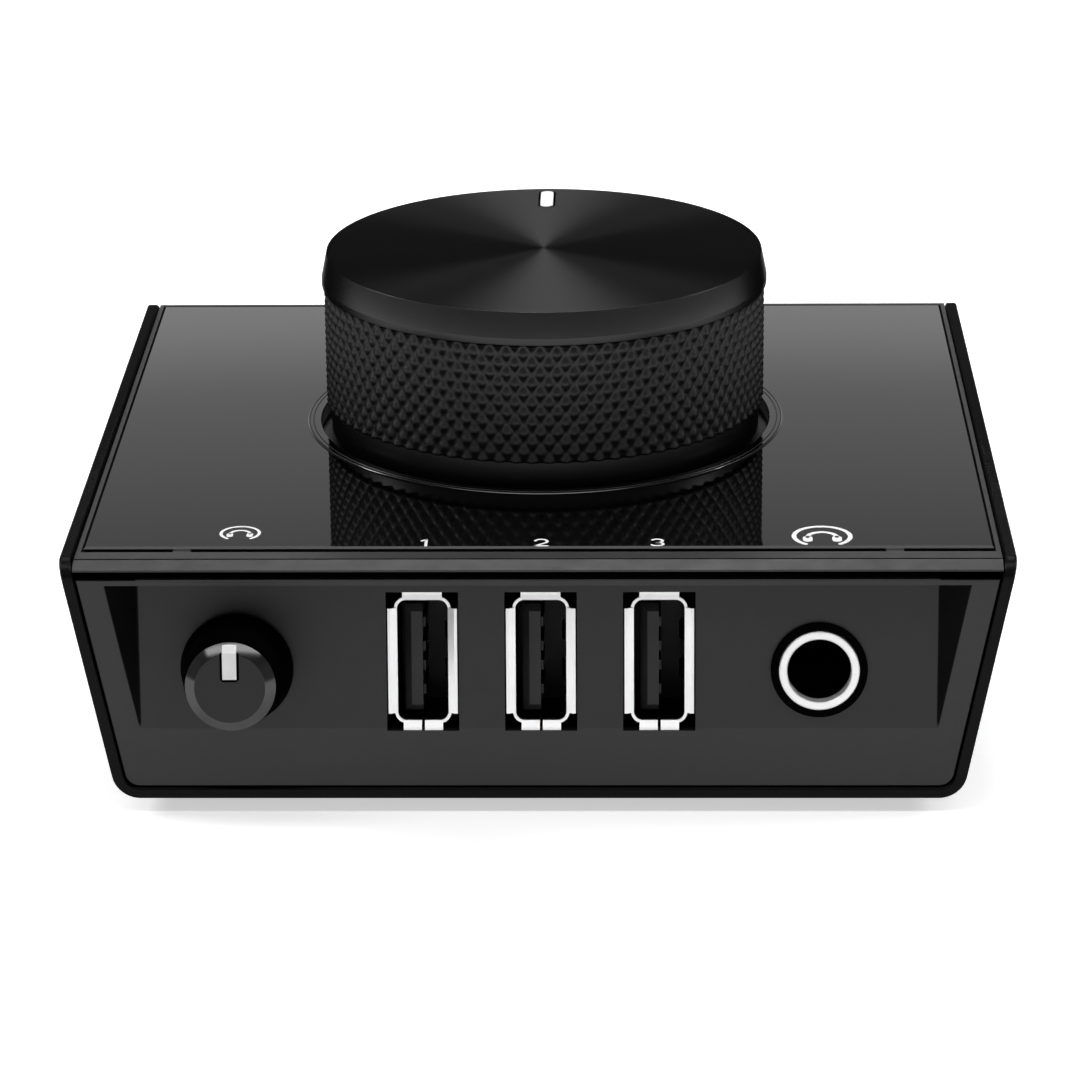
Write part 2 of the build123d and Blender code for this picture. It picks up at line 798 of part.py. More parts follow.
def level_knob():
    """Level knob: hollow skirt over the bush, flatted bore over the shaft."""
    grip = level_knob_gap + level_knob_skirt
    body = level_knob_blank() - rod(level_knob_skirt_radius, 0, grip)
    tip = level_knob_height - level_shaft_cover
    body -= flatted(shaft_radius + core_fit, shaft_flat, grip - overrun, tip)
    return body - level_pointer_bar(level_pointer_gap)


def volume_pointer():
    """White bar with round ends let into the crown of the volume knob, at its rear edge."""
    bar = Rot(0, 0, 90) * SlotOverall(volume_pointer_length, volume_pointer_width)
    middle = volume_face_radius - volume_pointer_length / 2 - volume_pointer_width / 2
    return Pos(0, middle, volume_top - volume_pointer_depth) * extrude(bar, volume_pointer_depth)


def knurl_point(turn, row, radius):
    """Point of the knurl's lattice, counted in half pitches round the knob and up it."""
    angle = pi * turn / knurl_count
    height = volume_grip_low + volume_grip_height * row / (2 * knurl_rows)
    return (radius * cos(angle), radius * sin(angle), height)


def knurl_facets(row):
    """Facets of one row of diamonds: four about each peak, or two where the band ends."""
    facets = []
    for turn in range(row % 2, 2 * knurl_count, 2):
        peak = knurl_point(turn, row, volume_grip_radius)
        left = knurl_point(turn - 1, row, knurl_root_radius)
        right = knurl_point(turn + 1, row, knurl_root_radius)
        if row < 2 * knurl_rows:
            above = knurl_point(turn, row + 1, knurl_root_radius)
            facets += [(peak, right, above), (peak, above, left)]
        if row > 0:
            below = knurl_point(turn, row - 1, knurl_root_radius)
            facets += [(peak, left, below), (peak, below, right)]
    return facets


def knurl_end(row):
    """Flat end of the knurled band: a star outside and a round hole inside."""
    star = []
    for turn in range(row % 2, 2 * knurl_count, 2):
        star.append(knurl_point(turn, row, volume_grip_radius))
        star.append(knurl_point(turn + 1, row, knurl_root_radius))
    hole = Edge.make_circle(knurl_bore_radius, Plane(origin=(0, 0, star[0][2])))
    return Face(Wire.make_polygon(star), [Wire(hole)])


def knurled_band():
    """Ring of pyramid-shaped diamonds in staggered rows."""
    last = 2 * knurl_rows
    facets = [points for row in range(last + 1) for points in knurl_facets(row)]
    faces = [Face(Wire.make_polygon(points)) for points in facets]
    bore = rod(knurl_bore_radius, volume_grip_low, volume_grip_top)
    faces += [knurl_end(0), knurl_end(last), *bore.faces().filter_by(GeomType.CYLINDER)]
    return Solid(Shell(faces))


def volume_knob():
    """Turned cup with a bevelled crown, a rim, the knurled grip and a plain band at its base."""
    outline = [(0, volume_top), (volume_face_radius, volume_top), (volume_rim_radius, volume_rim_top),
               (volume_rim_radius, volume_grip_top), (knurl_bore_radius, volume_grip_top),
               (knurl_bore_radius, volume_grip_low), (volume_base_radius, volume_grip_low),
               (volume_base_radius, volume_low), (volume_inside_radius, volume_low),
               (volume_inside_radius, volume_inside_top), (0, volume_inside_top)]
    return turned(outline) - volume_pointer() + knurled_band()


def volume_core():
    """Moulded core inside the knob: a hub on the shaft, a disc, a ring and ribs between them."""
    top = volume_inside_top
    outer = volume_inside_radius - core_fit
    hub_low = plate_top + volume_bush_stand
    disc_low = top - core_disc
    body = rod(core_hub_radius, hub_low, top) + rod(outer, disc_low, top)
    body += tube(outer, outer - core_ring_wall, top - core_ring_height, top)
    for i in range(core_rib_count):
        rib = slab((0, -core_rib_width / 2, top - core_rib_height),
                   (outer - core_ring_wall / 2, core_rib_width / 2, top))
        body += Rot(0, 0, 360 * i / core_rib_count) * rib
    return body - flatted(shaft_radius + core_fit, shaft_flat, hub_low - overrun,
                          hub_low + volume_shaft_rise)


def volume_pot_body():
    """Potentiometer body under the top frame, with a blind bore for its shaft."""
    body = rod(volume_pot_radius, frame_low - volume_pot_height, frame_low)
    return body - rod(shaft_radius + shaft_fit, frame_low - volume_shaft_root, frame_low + overrun)


def volume_bush():
    """Bush that clamps the potentiometer in the top frame and guides the shaft."""
    return tube(volume_bush_radius, shaft_radius + shaft_fit, frame_low, plate_low + volume_bush_stand)


def volume_washer_piece():
    """Washer between the top frame and the nut."""
    return tube(volume_washer_radius, volume_bush_radius + core_fit, plate_low, plate_low + volume_washer)


def volume_nut_piece():
    """Hexagonal nut on the bush."""
    low = plate_low + volume_washer
    body = Pos(0, 0, low) * extrude(RegularPolygon(volume_nut_radius, 6), volume_nut)
    return body - rod(volume_bush_radius + core_fit, low - overrun, low + volume_nut + overrun)


def volume_shaft():
    """Shaft of the volume control, with a flat inside the knob's hub."""
    root = frame_low - volume_shaft_root + shaft_seat_gap
    grip = plate_top + volume_bush_stand
    tip = grip + volume_shaft_rise - shaft_seat_gap
    return rod(shaft_radius, root, grip) + flatted(shaft_radius, shaft_flat, grip, tip)


def volume_legs():
    """Legs from the potentiometer body down to the main board."""
    half = volume_leg_width / 2
    middle = (volume_leg_count - 1) / 2
    legs = []
    for i in range(volume_leg_count):
        x = (i - middle) * volume_leg_pitch
        legs.append(slab((x - half, -half, board_top), (x + half, half, frame_low - volume_pot_height)))
    return legs


def output_jack():
    """Output socket: a body on the board and a nose through the rear panel, bored for a plug."""
    half = jack_body_width / 2
    wall = -panel_wall
    back = output_nose_stand - jack_depth
    body = slab((-half, -output_axis_rise, back), (half, output_body_height - output_axis_rise, wall))
    body -= Pos(0, 0, output_nose_stand) * jack_bore(jack_depth)
    return body + tube(output_nose_radius, plug_bore_radius, wall, output_nose_stand)


def output_nut_piece():
    """Hexagonal nut that clamps an output socket's nose to the rear panel."""
    body = extrude(RegularPolygon(output_nut_radius, 6), output_nut)
    return body - rod(output_nose_radius + core_fit, -overrun, output_nut + overrun)


def link_shell():
    """Oval metal shell of the link socket, lying on the main board."""
    outside = SlotOverall(link_width, link_height)
    inside = SlotOverall(link_width - 2 * link_wall, link_height - 2 * link_wall)
    return Pos(0, 0, -link_recess - link_depth) * extrude(outside - inside, link_depth)


def link_tongue():
    """Insulator of the link socket: a base that fills the shell's back and a thin tongue."""
    back = -link_recess - link_depth
    wide = link_width - 2 * (link_wall + core_fit)
    high = link_height - 2 * (link_wall + core_fit)
    body = Pos(0, 0, back) * extrude(SlotOverall(wide, high), link_base_depth)
    return body + slab((-link_tongue_width / 2, -link_tongue_thickness / 2, back),
                       (link_tongue_width / 2, link_tongue_thickness / 2, -link_tongue_recess))


def board_chips():
    """Flat chip packages on the main board."""
    chips = []
    for width_share, (x_share, y_share) in zip(chip_width_shares, chip_place_shares):
        half = chip_width * width_share / 2
        x = board_half_width * x_share
        y = case_rear * y_share
        chips.append(slab((x - half, y - half, board_top), (x + half, y + half, board_top + chip_height)))
    return chips


def board_capacitors():
    """Upright can capacitors on the main board."""
    can = rod(capacitor_radius, board_top, board_top + capacitor_height)
    outer = board_half_width - capacitor_side_inset
    return [Pos(outer - i * capacitor_pitch, capacitor_y) * can for i in range(capacitor_count)]


def placed(place, pieces):
    """One piece or a list of pieces, moved to its place."""
    if isinstance(pieces, list):
        return [place * piece for piece in pieces]
    return place * pieces


def all_parts():
    """Every sub-part by name, in the case's own frame."""
    volume = Pos(0, volume_offset)
    level = on_floor(level_x, level_middle_height)
    phones = on_floor(phones_x, phones_middle_height)
    link = on_rear(0, board_top + link_height / 2)
    parts = {
        "chassis": chassis(),
        "top_frame": top_frame(),
        "top_plate": top_plate(),
        "knob_ring": knob_ring(),
        "front_panel": front_panel(),
        "rear_panel": rear_panel(),
        "base_screws": base_screws(),
        "panel_screws": panel_screws(),
        "board_standoffs": board_standoffs(),
        "main_board": main_board(),
        "front_board": front_board(),
        "front_board_screws": front_board_screws(),
        "link_headers": link_headers(),
        "link_ribbon": link_ribbon(),
        "board_chips": board_chips(),
        "board_capacitors": board_capacitors(),
        "phones_sleeve": placed(phones, phones_sleeve()),
        "phones_washer": placed(phones, phones_washer()),
        "phones_jack_body": placed(phones, phones_jack_body()),
        "phones_springs": placed(phones, jack_springs()),
        "level_pot_body": placed(level, level_pot_body()),
        "level_bush": placed(level, level_bush()),
        "level_shaft": placed(level, level_shaft()),
        "level_knob": placed(level, level_knob()),
        "level_pointer": placed(level, level_pointer()),
        "volume_pot_body": placed(volume, volume_pot_body()),
        "volume_bush": placed(volume, volume_bush()),
        "volume_washer": placed(volume, volume_washer_piece()),
        "volume_nut": placed(volume, volume_nut_piece()),
        "volume_legs": placed(volume, volume_legs()),
        "volume_shaft": placed(volume, volume_shaft()),
        "volume_core": placed(volume, volume_core()),
        "volume_knob": placed(volume, volume_knob()),
        "volume_pointer": placed(volume, volume_pointer()),
        "uplink_shell": placed(link, link_shell()),
        "uplink_tongue": placed(link, link_tongue()),
    }
    for i, x in enumerate(usb_places(), start=1):
        place = on_floor(x, usb_middle_height)
        parts[f"usb_shell_{i}"] = placed(place, usb_shell())
        parts[f"usb_tongue_{i}"] = placed(place, usb_tongue())
        parts[f"usb_contacts_{i}"] = placed(place, usb_contacts())
    for side, x in (("left", output_x), ("right", -output_x)):
        place = on_rear(x, board_top + output_axis_rise)
        parts[f"output_jack_{side}"] = placed(place, output_jack())
        parts[f"output_nut_{side}"] = placed(place, output_nut_piece())
        parts[f"output_springs_{side}"] = placed(place * Pos(0, 0, output_nose_stand), jack_springs())
    for end, y in (("front", -foot_y), ("rear", foot_y)):
        for side, x in (("left", -foot_x), ("right", foot_x)):
            parts[f"foot_{end}_{side}"] = Pos(x, y) * foot()
    return parts


def main():
    os.makedirs("parts", exist_ok=True)
    for name, pieces in all_parts().items():
        moved = placed(STAND, pieces)
        shape = Compound(children=moved) if isinstance(moved, list) else moved
        export_step(shape, f"parts/{name}.step")


if __name__ == "__main__":
    main()
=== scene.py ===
import bpy
import json
import math
import numpy as np
from mathutils import Matrix, Vector


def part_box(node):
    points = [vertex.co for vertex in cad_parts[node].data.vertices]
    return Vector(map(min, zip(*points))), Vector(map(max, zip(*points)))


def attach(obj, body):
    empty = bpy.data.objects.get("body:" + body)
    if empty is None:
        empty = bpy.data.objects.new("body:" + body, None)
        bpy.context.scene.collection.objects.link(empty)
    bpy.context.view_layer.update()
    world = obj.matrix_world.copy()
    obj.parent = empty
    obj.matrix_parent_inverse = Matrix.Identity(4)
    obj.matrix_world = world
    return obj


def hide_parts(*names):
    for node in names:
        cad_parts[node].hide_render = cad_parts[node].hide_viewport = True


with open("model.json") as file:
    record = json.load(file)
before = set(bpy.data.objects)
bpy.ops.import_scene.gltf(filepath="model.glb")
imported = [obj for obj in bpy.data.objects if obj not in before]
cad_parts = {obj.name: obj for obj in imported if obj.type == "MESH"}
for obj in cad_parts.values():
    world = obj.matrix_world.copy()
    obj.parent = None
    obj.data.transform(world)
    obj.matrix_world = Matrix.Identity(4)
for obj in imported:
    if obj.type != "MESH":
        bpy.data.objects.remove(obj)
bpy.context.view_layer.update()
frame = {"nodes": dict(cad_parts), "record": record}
nodes = frame["nodes"]

# Lengths are in millimetres and angles in degrees, where no comment says otherwise; MM turns millimetres
# into metres
MM = 0.001

# Camera: where the photograph was taken from. The aim is measured from the middle of the case's underside
VIEW_AIM = (-0.64, 0.0, 11.64)
VIEW_AZIMUTH = 1.28
VIEW_ELEVATION = 20.32
VIEW_ROLL = -0.52
VIEW_DISTANCE = 477.59
LENS = 144.15
SENSOR = 36.0
NEAR_CLIP = 10.0

# Volume knob, from its crown downwards
CROWN_SINK = 0.04
CROWN_POLE = 0.05
CROWN_ROUND = 0.05
CHAMFER_RUN = 0.55
CHAMFER_DROP = 2.67
RIM_BAND = 0.9
EDGE_ROUND = 0.12
GRIP_STEP = 0.2
GRIP_HEIGHT = 12.95
KNURL_COUNT = 84
KNURL_ROWS = 6
KNURL_DEPTH = 0.38
BASE_STEP = 0.75
BASE_SHOULDER = 0.6
BASE_WALL = 1.6

# Level knob, outwards from the scooped floor
LEVEL_UP = 6.4
LEVEL_GAP = 0.6
LEVEL_HEIGHT = 8.85
LEVEL_BORE = 4.3
LEVEL_BASE = 5.7
LEVEL_RIM = 4.55
LEVEL_BEVEL = 0.75
LEVEL_FACE = 3.6
LEVEL_POLE = 0.1
LEVEL_ROUND = 0.08

# Pointers let into the knobs, and the painted shadow line round them that stands for the shade in their gaps
POINTER_HALF = 0.7
LEVEL_POINTER_LENGTH = 3.65
POINTER_CORNER = 0.15
SHADOW_OUTLINE = 0.26

# Scooped floor of the front panel: how high its lower edge lies above the case's underside, its tilt, where
# its flanks begin, and the depths under it at which the sockets' metal is fully darkened by painted shade
# and fully bright
SCOOP_LOW = 7.7
SCOOP_TILT = 8.0
SCOOP_HALF = 40.2
# Softness and depths of the painted shade on the panel's scooped flanks
FLANK_SHADE_BLUR = 0.1
FLANK_SHADE_DEPTHS = (0.02, 0.08)
SOCKET_SHADED = 1.2
SOCKET_BRIGHT = 0.7

# Front edges: how far the painted shade on the sheet's cut front edge reaches, where the plate ends, how far
# its matt edge reaches, and how soft the change of finish is
SHEET_EDGE_SHADE = 0.12
PLATE_FRONT = -38.6
PLATE_EDGE = 0.2
EDGE_BLUR = 0.02

# Fine raised lines on the ring round the volume knob: distances in from the ring's edge, and their radius
RING_LINES = (0.16, 0.62)
RING_LINE = 0.1

# Screws in the underside
SCREW_HEAD = 2.6
SCREW_POLE = 0.04
SCREW_EDGE = 0.06
SCREW_SINK = 1.1
SCREW_SHANK = 1.25
SCREW_TAPER = 0.3
SCREW_TIP = 0.6
RECESS_REACH = 1.45
RECESS_HALF = 0.36
RECESS_DEPTH = 0.8
RECESS_RISE_SHARE = 0.55
RECESS_WALL = 0.1
RECESS_END = 0.15

# Nuts of the rear sockets: chamfers at the hole and at the corners
NUT_HOLE = 5.5
NUT_HOLE_CHAMFER = 0.25
NUT_CORNER_SHARE = 0.95
NUT_CORNER_SLOPE = 30.0

# Printed marks on the plate, with places measured from the middle of the case
PRINT_RISE = 0.012
PRINT_TOP_SHARE = 0.85
DIGIT_LINE = 0.3
DIGIT_HALF = (0.62, 0.95)
DIGIT_PLACES = ((1, -11.45), (2, 0.3), (3, 12.05))
DIGIT_Y = -37.35
ONE_STEM = 0.1
ONE_FLAG = -0.35
ONE_FLAG_SHARE = 0.55
TWO_TOP = (165, -35)
THREE_UPPER = (150, -90)
THREE_LOWER = (90, -150)
THREE_UPPER_SHARE = 0.9

# Headphone signs: middle and radius, and the sizes of their parts as shares of the radius
SIGNS = (((-30.45, -34.5), 1.95), ((28.8, -35.6), 2.85))
SIGN_LINE_SHARE = 0.17
SIGN_RING = (-52, 232)
SIGN_BAND_SHARE = 0.52
SIGN_BAND_DROP_SHARE = 0.1
SIGN_PAD_SHARES = (0.15, 0.4)
SIGN_PAD_WIDTH_SHARE = 0.34

# How finely the surfaces are divided, and the angle at which the round end of a printed line begins
ARC_POINTS = 5
BASE_POINTS = 4
CURVE_POINTS = 24
SIGN_POINTS = 56
STROKE_END_POINTS = 6
STROKE_END_ANGLE = 84
CROWN_RINGS = 24
KNURL_SAMPLES = 8
RING_COLUMNS = 240
RING_LINE_POINTS = 9
LEVEL_COLUMNS = 160
LEVEL_FACE_RINGS = 8
SCREW_COLUMNS = 120
SCREW_RINGS = 40
NUT_COLUMNS = 144
NUT_RINGS = 8


def box_mm(node):
    """Lowest and highest corner of a solid."""
    return [np.array(corner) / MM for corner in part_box(node)]


# Places, from the solids
case_low, case_high = box_mm("chassis")
case_middle = np.array([0.0, (case_low + case_high)[1] / 2, case_low[2]])
panel_front = box_mm("front_panel")[0][1]
plate_top = box_mm("top_plate")[1][2]
floor_point = np.array([0.0, panel_front, case_low[2] + SCOOP_LOW])
tilt = math.radians(SCOOP_TILT)
floor_right = np.array([1.0, 0.0, 0.0])
floor_up = np.array([0.0, math.sin(tilt), math.cos(tilt)])
floor_out = np.array([0.0, -math.cos(tilt), math.sin(tilt)])
knob_low, knob_high = box_mm("volume_knob")
knob_centre = (knob_low + knob_high)[:2] / 2
knob_rim = (knob_high - knob_low)[0] / 2
crown_top = knob_high[2] - CROWN_SINK
level_middle = floor_point + LEVEL_UP * floor_up + np.mean(box_mm("level_knob"), axis=0)[0] * floor_right
level_top = LEVEL_HEIGHT - CROWN_SINK


# Mesh makers

def new_piece(name, points, faces, material, body, smooth=True):
    """Mesh object at the origin from an array of points and a list of arrays of faces, riding on a body."""
    mesh = bpy.data.meshes.new(name)
    mesh.from_pydata((points * MM).tolist(), [], sum((group.tolist() for group in faces), []))
    mesh.polygons.foreach_set("use_smooth", np.full(len(mesh.polygons), smooth))
    mesh.materials.append(finishes[material])
    mesh.update()
    piece = bpy.data.objects.new(name, mesh)
    bpy.context.scene.collection.objects.link(piece)
    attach(piece, body)
    return piece


def paint(piece, materials, numbers):
    """Further finishes on a piece, and the number of the finish that each of its faces takes."""
    for material in materials:
        piece.data.materials.append(finishes[material])
    piece.data.polygons.foreach_set("material_index", numbers.astype(np.int32))


def grid_quads(rows, columns):
    """Quads of a grid of rows whose columns close into rings: each cell joins two rows and two columns."""
    row, column = np.meshgrid(np.arange(rows - 1), np.arange(columns), indexing="ij")
    right = (column + 1) % columns
    cells = (row * columns + column, row * columns + right,
             (row + 1) * columns + right, (row + 1) * columns + column)
    return np.stack(cells, axis=-1).reshape(-1, 4)


def cap(pole, first, columns):
    """Triangles from a pole to the closed ring of points that starts at an index."""
    around = np.arange(columns)
    return np.stack((np.full(columns, pole), first + around, first + (around + 1) % columns), axis=1)


def curve(centre, radii, start, end, count=CURVE_POINTS):
    """Points of an elliptic arc: centre plus the radii times the cosine and sine of the angle."""
    angle = np.radians(np.linspace(start, end, count))
    return np.stack((centre[0] + radii[0] * np.cos(angle), centre[1] + radii[1] * np.sin(angle)), axis=1)


def arc(centre, radius, start, end, count=ARC_POINTS):
    """Points of a circular arc in a profile."""
    return curve(centre, (radius, radius), start, end, count)


def flat(start, end, height, count):
    """Points of a profile that runs level from one radius to another."""
    return np.stack((np.linspace(start, end, count), np.full(count, height)), axis=1)


def plain_grid(profile, columns):
    """Radius and height of rings that are the same all round."""
    return np.repeat(profile[:, :1], columns, 1), np.repeat(profile[:, 1:], columns, 1)


def turned(radius, height):
    """Rings about an upright axis: x and y are the radius times the cosine and sine of the angle, z is the
    height."""
    angle = np.linspace(0, 2 * np.pi, radius.shape[1], endpoint=False)
    return np.stack((radius * np.cos(angle), radius * np.sin(angle), height), axis=-1)


def on_floor(points, middle):
    """Points given as right, up and out of the scooped floor, from a middle on it."""
    return middle + points[..., :1] * floor_right + points[..., 1:2] * floor_up + points[..., 2:] * floor_out


def joined(shapes):
    """Several shapes, each an array of points and a list of arrays of faces, as one."""
    firsts = np.cumsum([0] + [len(points) for points, _ in shapes])
    points = np.concatenate([points for points, _ in shapes])
    faces = [group + first for first, (_, groups) in zip(firsts, shapes) for group in groups]
    return points, faces


# Material makers

# Details of the noise that mottles a surface and of the noise that grains it, how much coarser the first is,
# and the depth of the grain
MOTTLE_DETAIL = 4.0
GRAIN_DETAIL = 2.0
MOTTLE_SIZE = 12
GRAIN_DEPTH = 0.02

# Sockets of the mixing node that take and give colours
MIX_FACTOR, MIX_LOW, MIX_HIGH = 0, 6, 7
MIX_RESULT = 2


def material_nodes(name):
    """New material with its node tree and its shader."""
    material = bpy.data.materials.new(name)
    material.use_nodes = True
    tree = material.node_tree
    return material, tree, tree.nodes["Principled BSDF"]


def link(tree, source, target):
    """Wire from one socket to another."""
    tree.links.new(source, target)


def grey(level):
    """Opaque grey."""
    return (level, level, level, 1)


def set_sockets(shader, **values):
    """Values that are the same all over a surface, on the shader's own sockets."""
    for name, value in values.items():
        shader.inputs[name.replace("_", " ")].default_value = value


def math_node(tree, operation, *values):
    """Product, greater of two or another operation on sockets and numbers."""
    node = tree.nodes.new("ShaderNodeMath")
    node.operation = operation
    for socket, value in zip(node.inputs, values):
        if isinstance(value, (int, float)):
            socket.default_value = value
        else:
            link(tree, value, socket)
    return node.outputs["Value"]


def noise(tree, scale, detail):
    """Noise over object coordinates, at a scale in features per metre."""
    place = tree.nodes.new("ShaderNodeTexCoord")
    texture = tree.nodes.new("ShaderNodeTexNoise")
    texture.inputs["Scale"].default_value = scale
    texture.inputs["Detail"].default_value = detail
    link(tree, place.outputs["Object"], texture.inputs["Vector"])
    return texture.outputs["Fac"]


def ramp(tree, factor, low, high, start=0.3, end=0.7):
    """Two colours or greys blended by a factor between a start and an end."""
    node = tree.nodes.new("ShaderNodeValToRGB")
    for element, value, position in zip(node.color_ramp.elements, (low, high), (start, end)):
        element.position = position
        element.color = (*value, 1) if isinstance(value, tuple) else grey(value)
    link(tree, factor, node.inputs["Fac"])
    return node.outputs["Color"]


def across(tree, factor, low, high):
    """Two greys blended by a factor over its whole range."""
    return ramp(tree, factor, low, high, 0.0, 1.0)


def blend(tree, factor, low, high):
    """Two colour sockets blended by a factor."""
    node = tree.nodes.new("ShaderNodeMix")
    node.data_type = "RGBA"
    for socket, source in ((MIX_FACTOR, factor), (MIX_LOW, low), (MIX_HIGH, high)):
        link(tree, source, node.inputs[socket])
    return node.outputs[MIX_RESULT]


def along(tree, direction, start, end):
    """Share of the way between two planes square to a direction, from the object coordinates."""
    place = tree.nodes.new("ShaderNodeTexCoord")
    dot = tree.nodes.new("ShaderNodeVectorMath")
    dot.operation = "DOT_PRODUCT"
    dot.inputs[1].default_value = tuple(direction)
    share = tree.nodes.new("ShaderNodeMapRange")
    share.inputs["From Min"].default_value = start * MM
    share.inputs["From Max"].default_value = end * MM
    link(tree, place.outputs["Object"], dot.inputs[0])
    link(tree, dot.outputs["Value"], share.inputs["Value"])
    return share.outputs["Result"]


def bump(tree, shader, height, strength, distance=GRAIN_DEPTH):
    """Relief from a height socket."""
    node = tree.nodes.new("ShaderNodeBump")
    node.inputs["Strength"].default_value = strength
    node.inputs["Distance"].default_value = distance * MM
    link(tree, height, node.inputs["Height"])
    link(tree, node.outputs["Normal"], shader.inputs["Normal"])


# Finishes

def plain_finish(name, colour, rough, grain, scale, metal=0.0, specular=0.5, tint=1.0, vary=0.12):
    """A colour with faint mottling, roughness that varies with it, and a fine grain."""
    material, tree, shader = material_nodes(name)
    mottle = noise(tree, scale / MOTTLE_SIZE, MOTTLE_DETAIL)
    dark = tuple(c * (1 - vary) for c in colour)
    light = tuple(min(1.0, c * (1 + vary)) for c in colour)
    link(tree, ramp(tree, mottle, dark, light), shader.inputs["Base Color"])
    link(tree, ramp(tree, mottle, rough * (1 - vary), rough * (1 + vary)), shader.inputs["Roughness"])
    set_sockets(shader, Metallic=metal, Specular_IOR_Level=specular, Specular_Tint=grey(tint))
    bump(tree, shader, noise(tree, scale, GRAIN_DETAIL), grain)
    return material


def sheet_finish(name):
    """Black anodised sheet with a fine grain, whose cut front edges are darkened by painted shade."""
    mottle_scale = 220
    face_greys = (0.0155, 0.0165)
    edge_shade_greys = (0.0075, 0.0085)
    rough = (0.37, 0.39)
    grain_scale = 2600
    grain = 0.18
    material, tree, shader = material_nodes(name)
    mottle = noise(tree, mottle_scale, MOTTLE_DETAIL)
    start = -case_low[1] - SHEET_EDGE_SHADE
    edge = along(tree, (0, -1, 0), start - EDGE_BLUR, start + EDGE_BLUR)
    # Painted shade: the front-facing cut edges take a darker grey than the faces
    colour = blend(tree, edge, ramp(tree, mottle, *face_greys), ramp(tree, mottle, *edge_shade_greys))
    link(tree, colour, shader.inputs["Base Color"])
    link(tree, ramp(tree, mottle, *rough), shader.inputs["Roughness"])
    set_sockets(shader, Metallic=1.0, Specular_Tint=grey(0.4))
    bump(tree, shader, noise(tree, grain_scale, GRAIN_DETAIL), grain)
    return material


def panel_finish(name):
    """Moulded panel whose scooped flanks are duller than its faces and darkened by painted shade."""
    mottle_scale = 430
    face_greys = (0.006, 0.008)
    flank_shade_greys = (0.001, 0.002)
    face_rough, flank_rough = 0.46, 0.7
    flank_metal = 0.85
    grain_scale = 5200
    grain = 0.25
    material, tree, shader = material_nodes(name)
    mottle = noise(tree, mottle_scale, MOTTLE_DETAIL)
    inwards = along(tree, (0, 1, 0), *(panel_front + depth for depth in FLANK_SHADE_DEPTHS))
    left = along(tree, (-1, 0, 0), SCOOP_HALF, SCOOP_HALF + FLANK_SHADE_BLUR)
    right = along(tree, (1, 0, 0), SCOOP_HALF, SCOOP_HALF + FLANK_SHADE_BLUR)
    flank_shade = math_node(tree, "MULTIPLY", inwards, math_node(tree, "MAXIMUM", left, right))
    # Painted shade: the scooped flanks take a near black colour and a high metal share, which dims their
    # reflections
    colour = blend(tree, flank_shade, ramp(tree, mottle, *face_greys), ramp(tree, mottle, *flank_shade_greys))
    link(tree, colour, shader.inputs["Base Color"])
    link(tree, across(tree, flank_shade, face_rough, flank_rough), shader.inputs["Roughness"])
    link(tree, math_node(tree, "MULTIPLY", flank_shade, flank_metal), shader.inputs["Metallic"])
    set_sockets(shader, Specular_IOR_Level=0.43)
    bump(tree, shader, noise(tree, grain_scale, GRAIN_DETAIL), grain)
    return material


def plate_finish(name):
    """Gloss plate whose sawn front edge is matt."""
    mottle_scale = 25
    greys = (0.0009, 0.0011)
    face_rough, edge_rough = 0.035, 0.3
    wave_scale = 300
    wave = 0.02
    material, tree, shader = material_nodes(name)
    start = -(PLATE_FRONT + case_middle[1] + PLATE_EDGE)
    edge = along(tree, (0, -1, 0), start - EDGE_BLUR, start + EDGE_BLUR)
    mottle = noise(tree, mottle_scale, MOTTLE_DETAIL)
    link(tree, ramp(tree, mottle, *greys), shader.inputs["Base Color"])
    link(tree, across(tree, edge, face_rough, edge_rough), shader.inputs["Roughness"])
    bump(tree, shader, noise(tree, wave_scale, GRAIN_DETAIL), wave, GRAIN_DEPTH / 2)
    return material


def socket_finish(name):
    """Nickel that is bright at the mouth of a front socket and darkened inside it by painted shade, by the
    depth square to the scooped floor."""
    shaded_grey, bright_grey = 0.02, 0.94
    shaded_metal, bright_metal = 1.0, 0.55
    rough = (0.28, 0.36)
    grain_scale = 2400
    grain = 0.06
    material, tree, shader = material_nodes(name)
    mouth = float(floor_point @ floor_out)
    outwards = along(tree, floor_out, mouth - SOCKET_SHADED, mouth - SOCKET_BRIGHT)
    marks = noise(tree, grain_scale, GRAIN_DETAIL)
    # Painted shade: deeper in the socket the colour falls to near black and the metal share rises to one
    link(tree, across(tree, outwards, shaded_grey, bright_grey), shader.inputs["Base Color"])
    link(tree, ramp(tree, marks, *rough), shader.inputs["Roughness"])
    link(tree, across(tree, outwards, shaded_metal, bright_metal), shader.inputs["Metallic"])
    bump(tree, shader, marks, grain)
    return material


def turning_marks(tree, centre):
    """Fine rings about an upright axis: noise along the distance from the axis."""
    ring_scale = 9000
    ring_detail = 3
    place = tree.nodes.new("ShaderNodeTexCoord")
    mapping = tree.nodes.new("ShaderNodeMapping")
    mapping.inputs["Location"].default_value = (-centre[0] * MM, -centre[1] * MM, 0)
    level = tree.nodes.new("ShaderNodeVectorMath")
    level.operation = "MULTIPLY"
    level.inputs[1].default_value = (1, 1, 0)
    distance = tree.nodes.new("ShaderNodeVectorMath")
    distance.operation = "LENGTH"
    rings = tree.nodes.new("ShaderNodeTexNoise")
    rings.noise_dimensions = "1D"
    rings.inputs["Scale"].default_value = ring_scale
    rings.inputs["Detail"].default_value = ring_detail
    link(tree, place.outputs["Object"], mapping.inputs["Vector"])
    link(tree, mapping.outputs["Vector"], level.inputs[0])
    link(tree, level.outputs["Vector"], distance.inputs[0])
    link(tree, distance.outputs["Value"], rings.inputs["W"])
    return rings.outputs["Fac"]


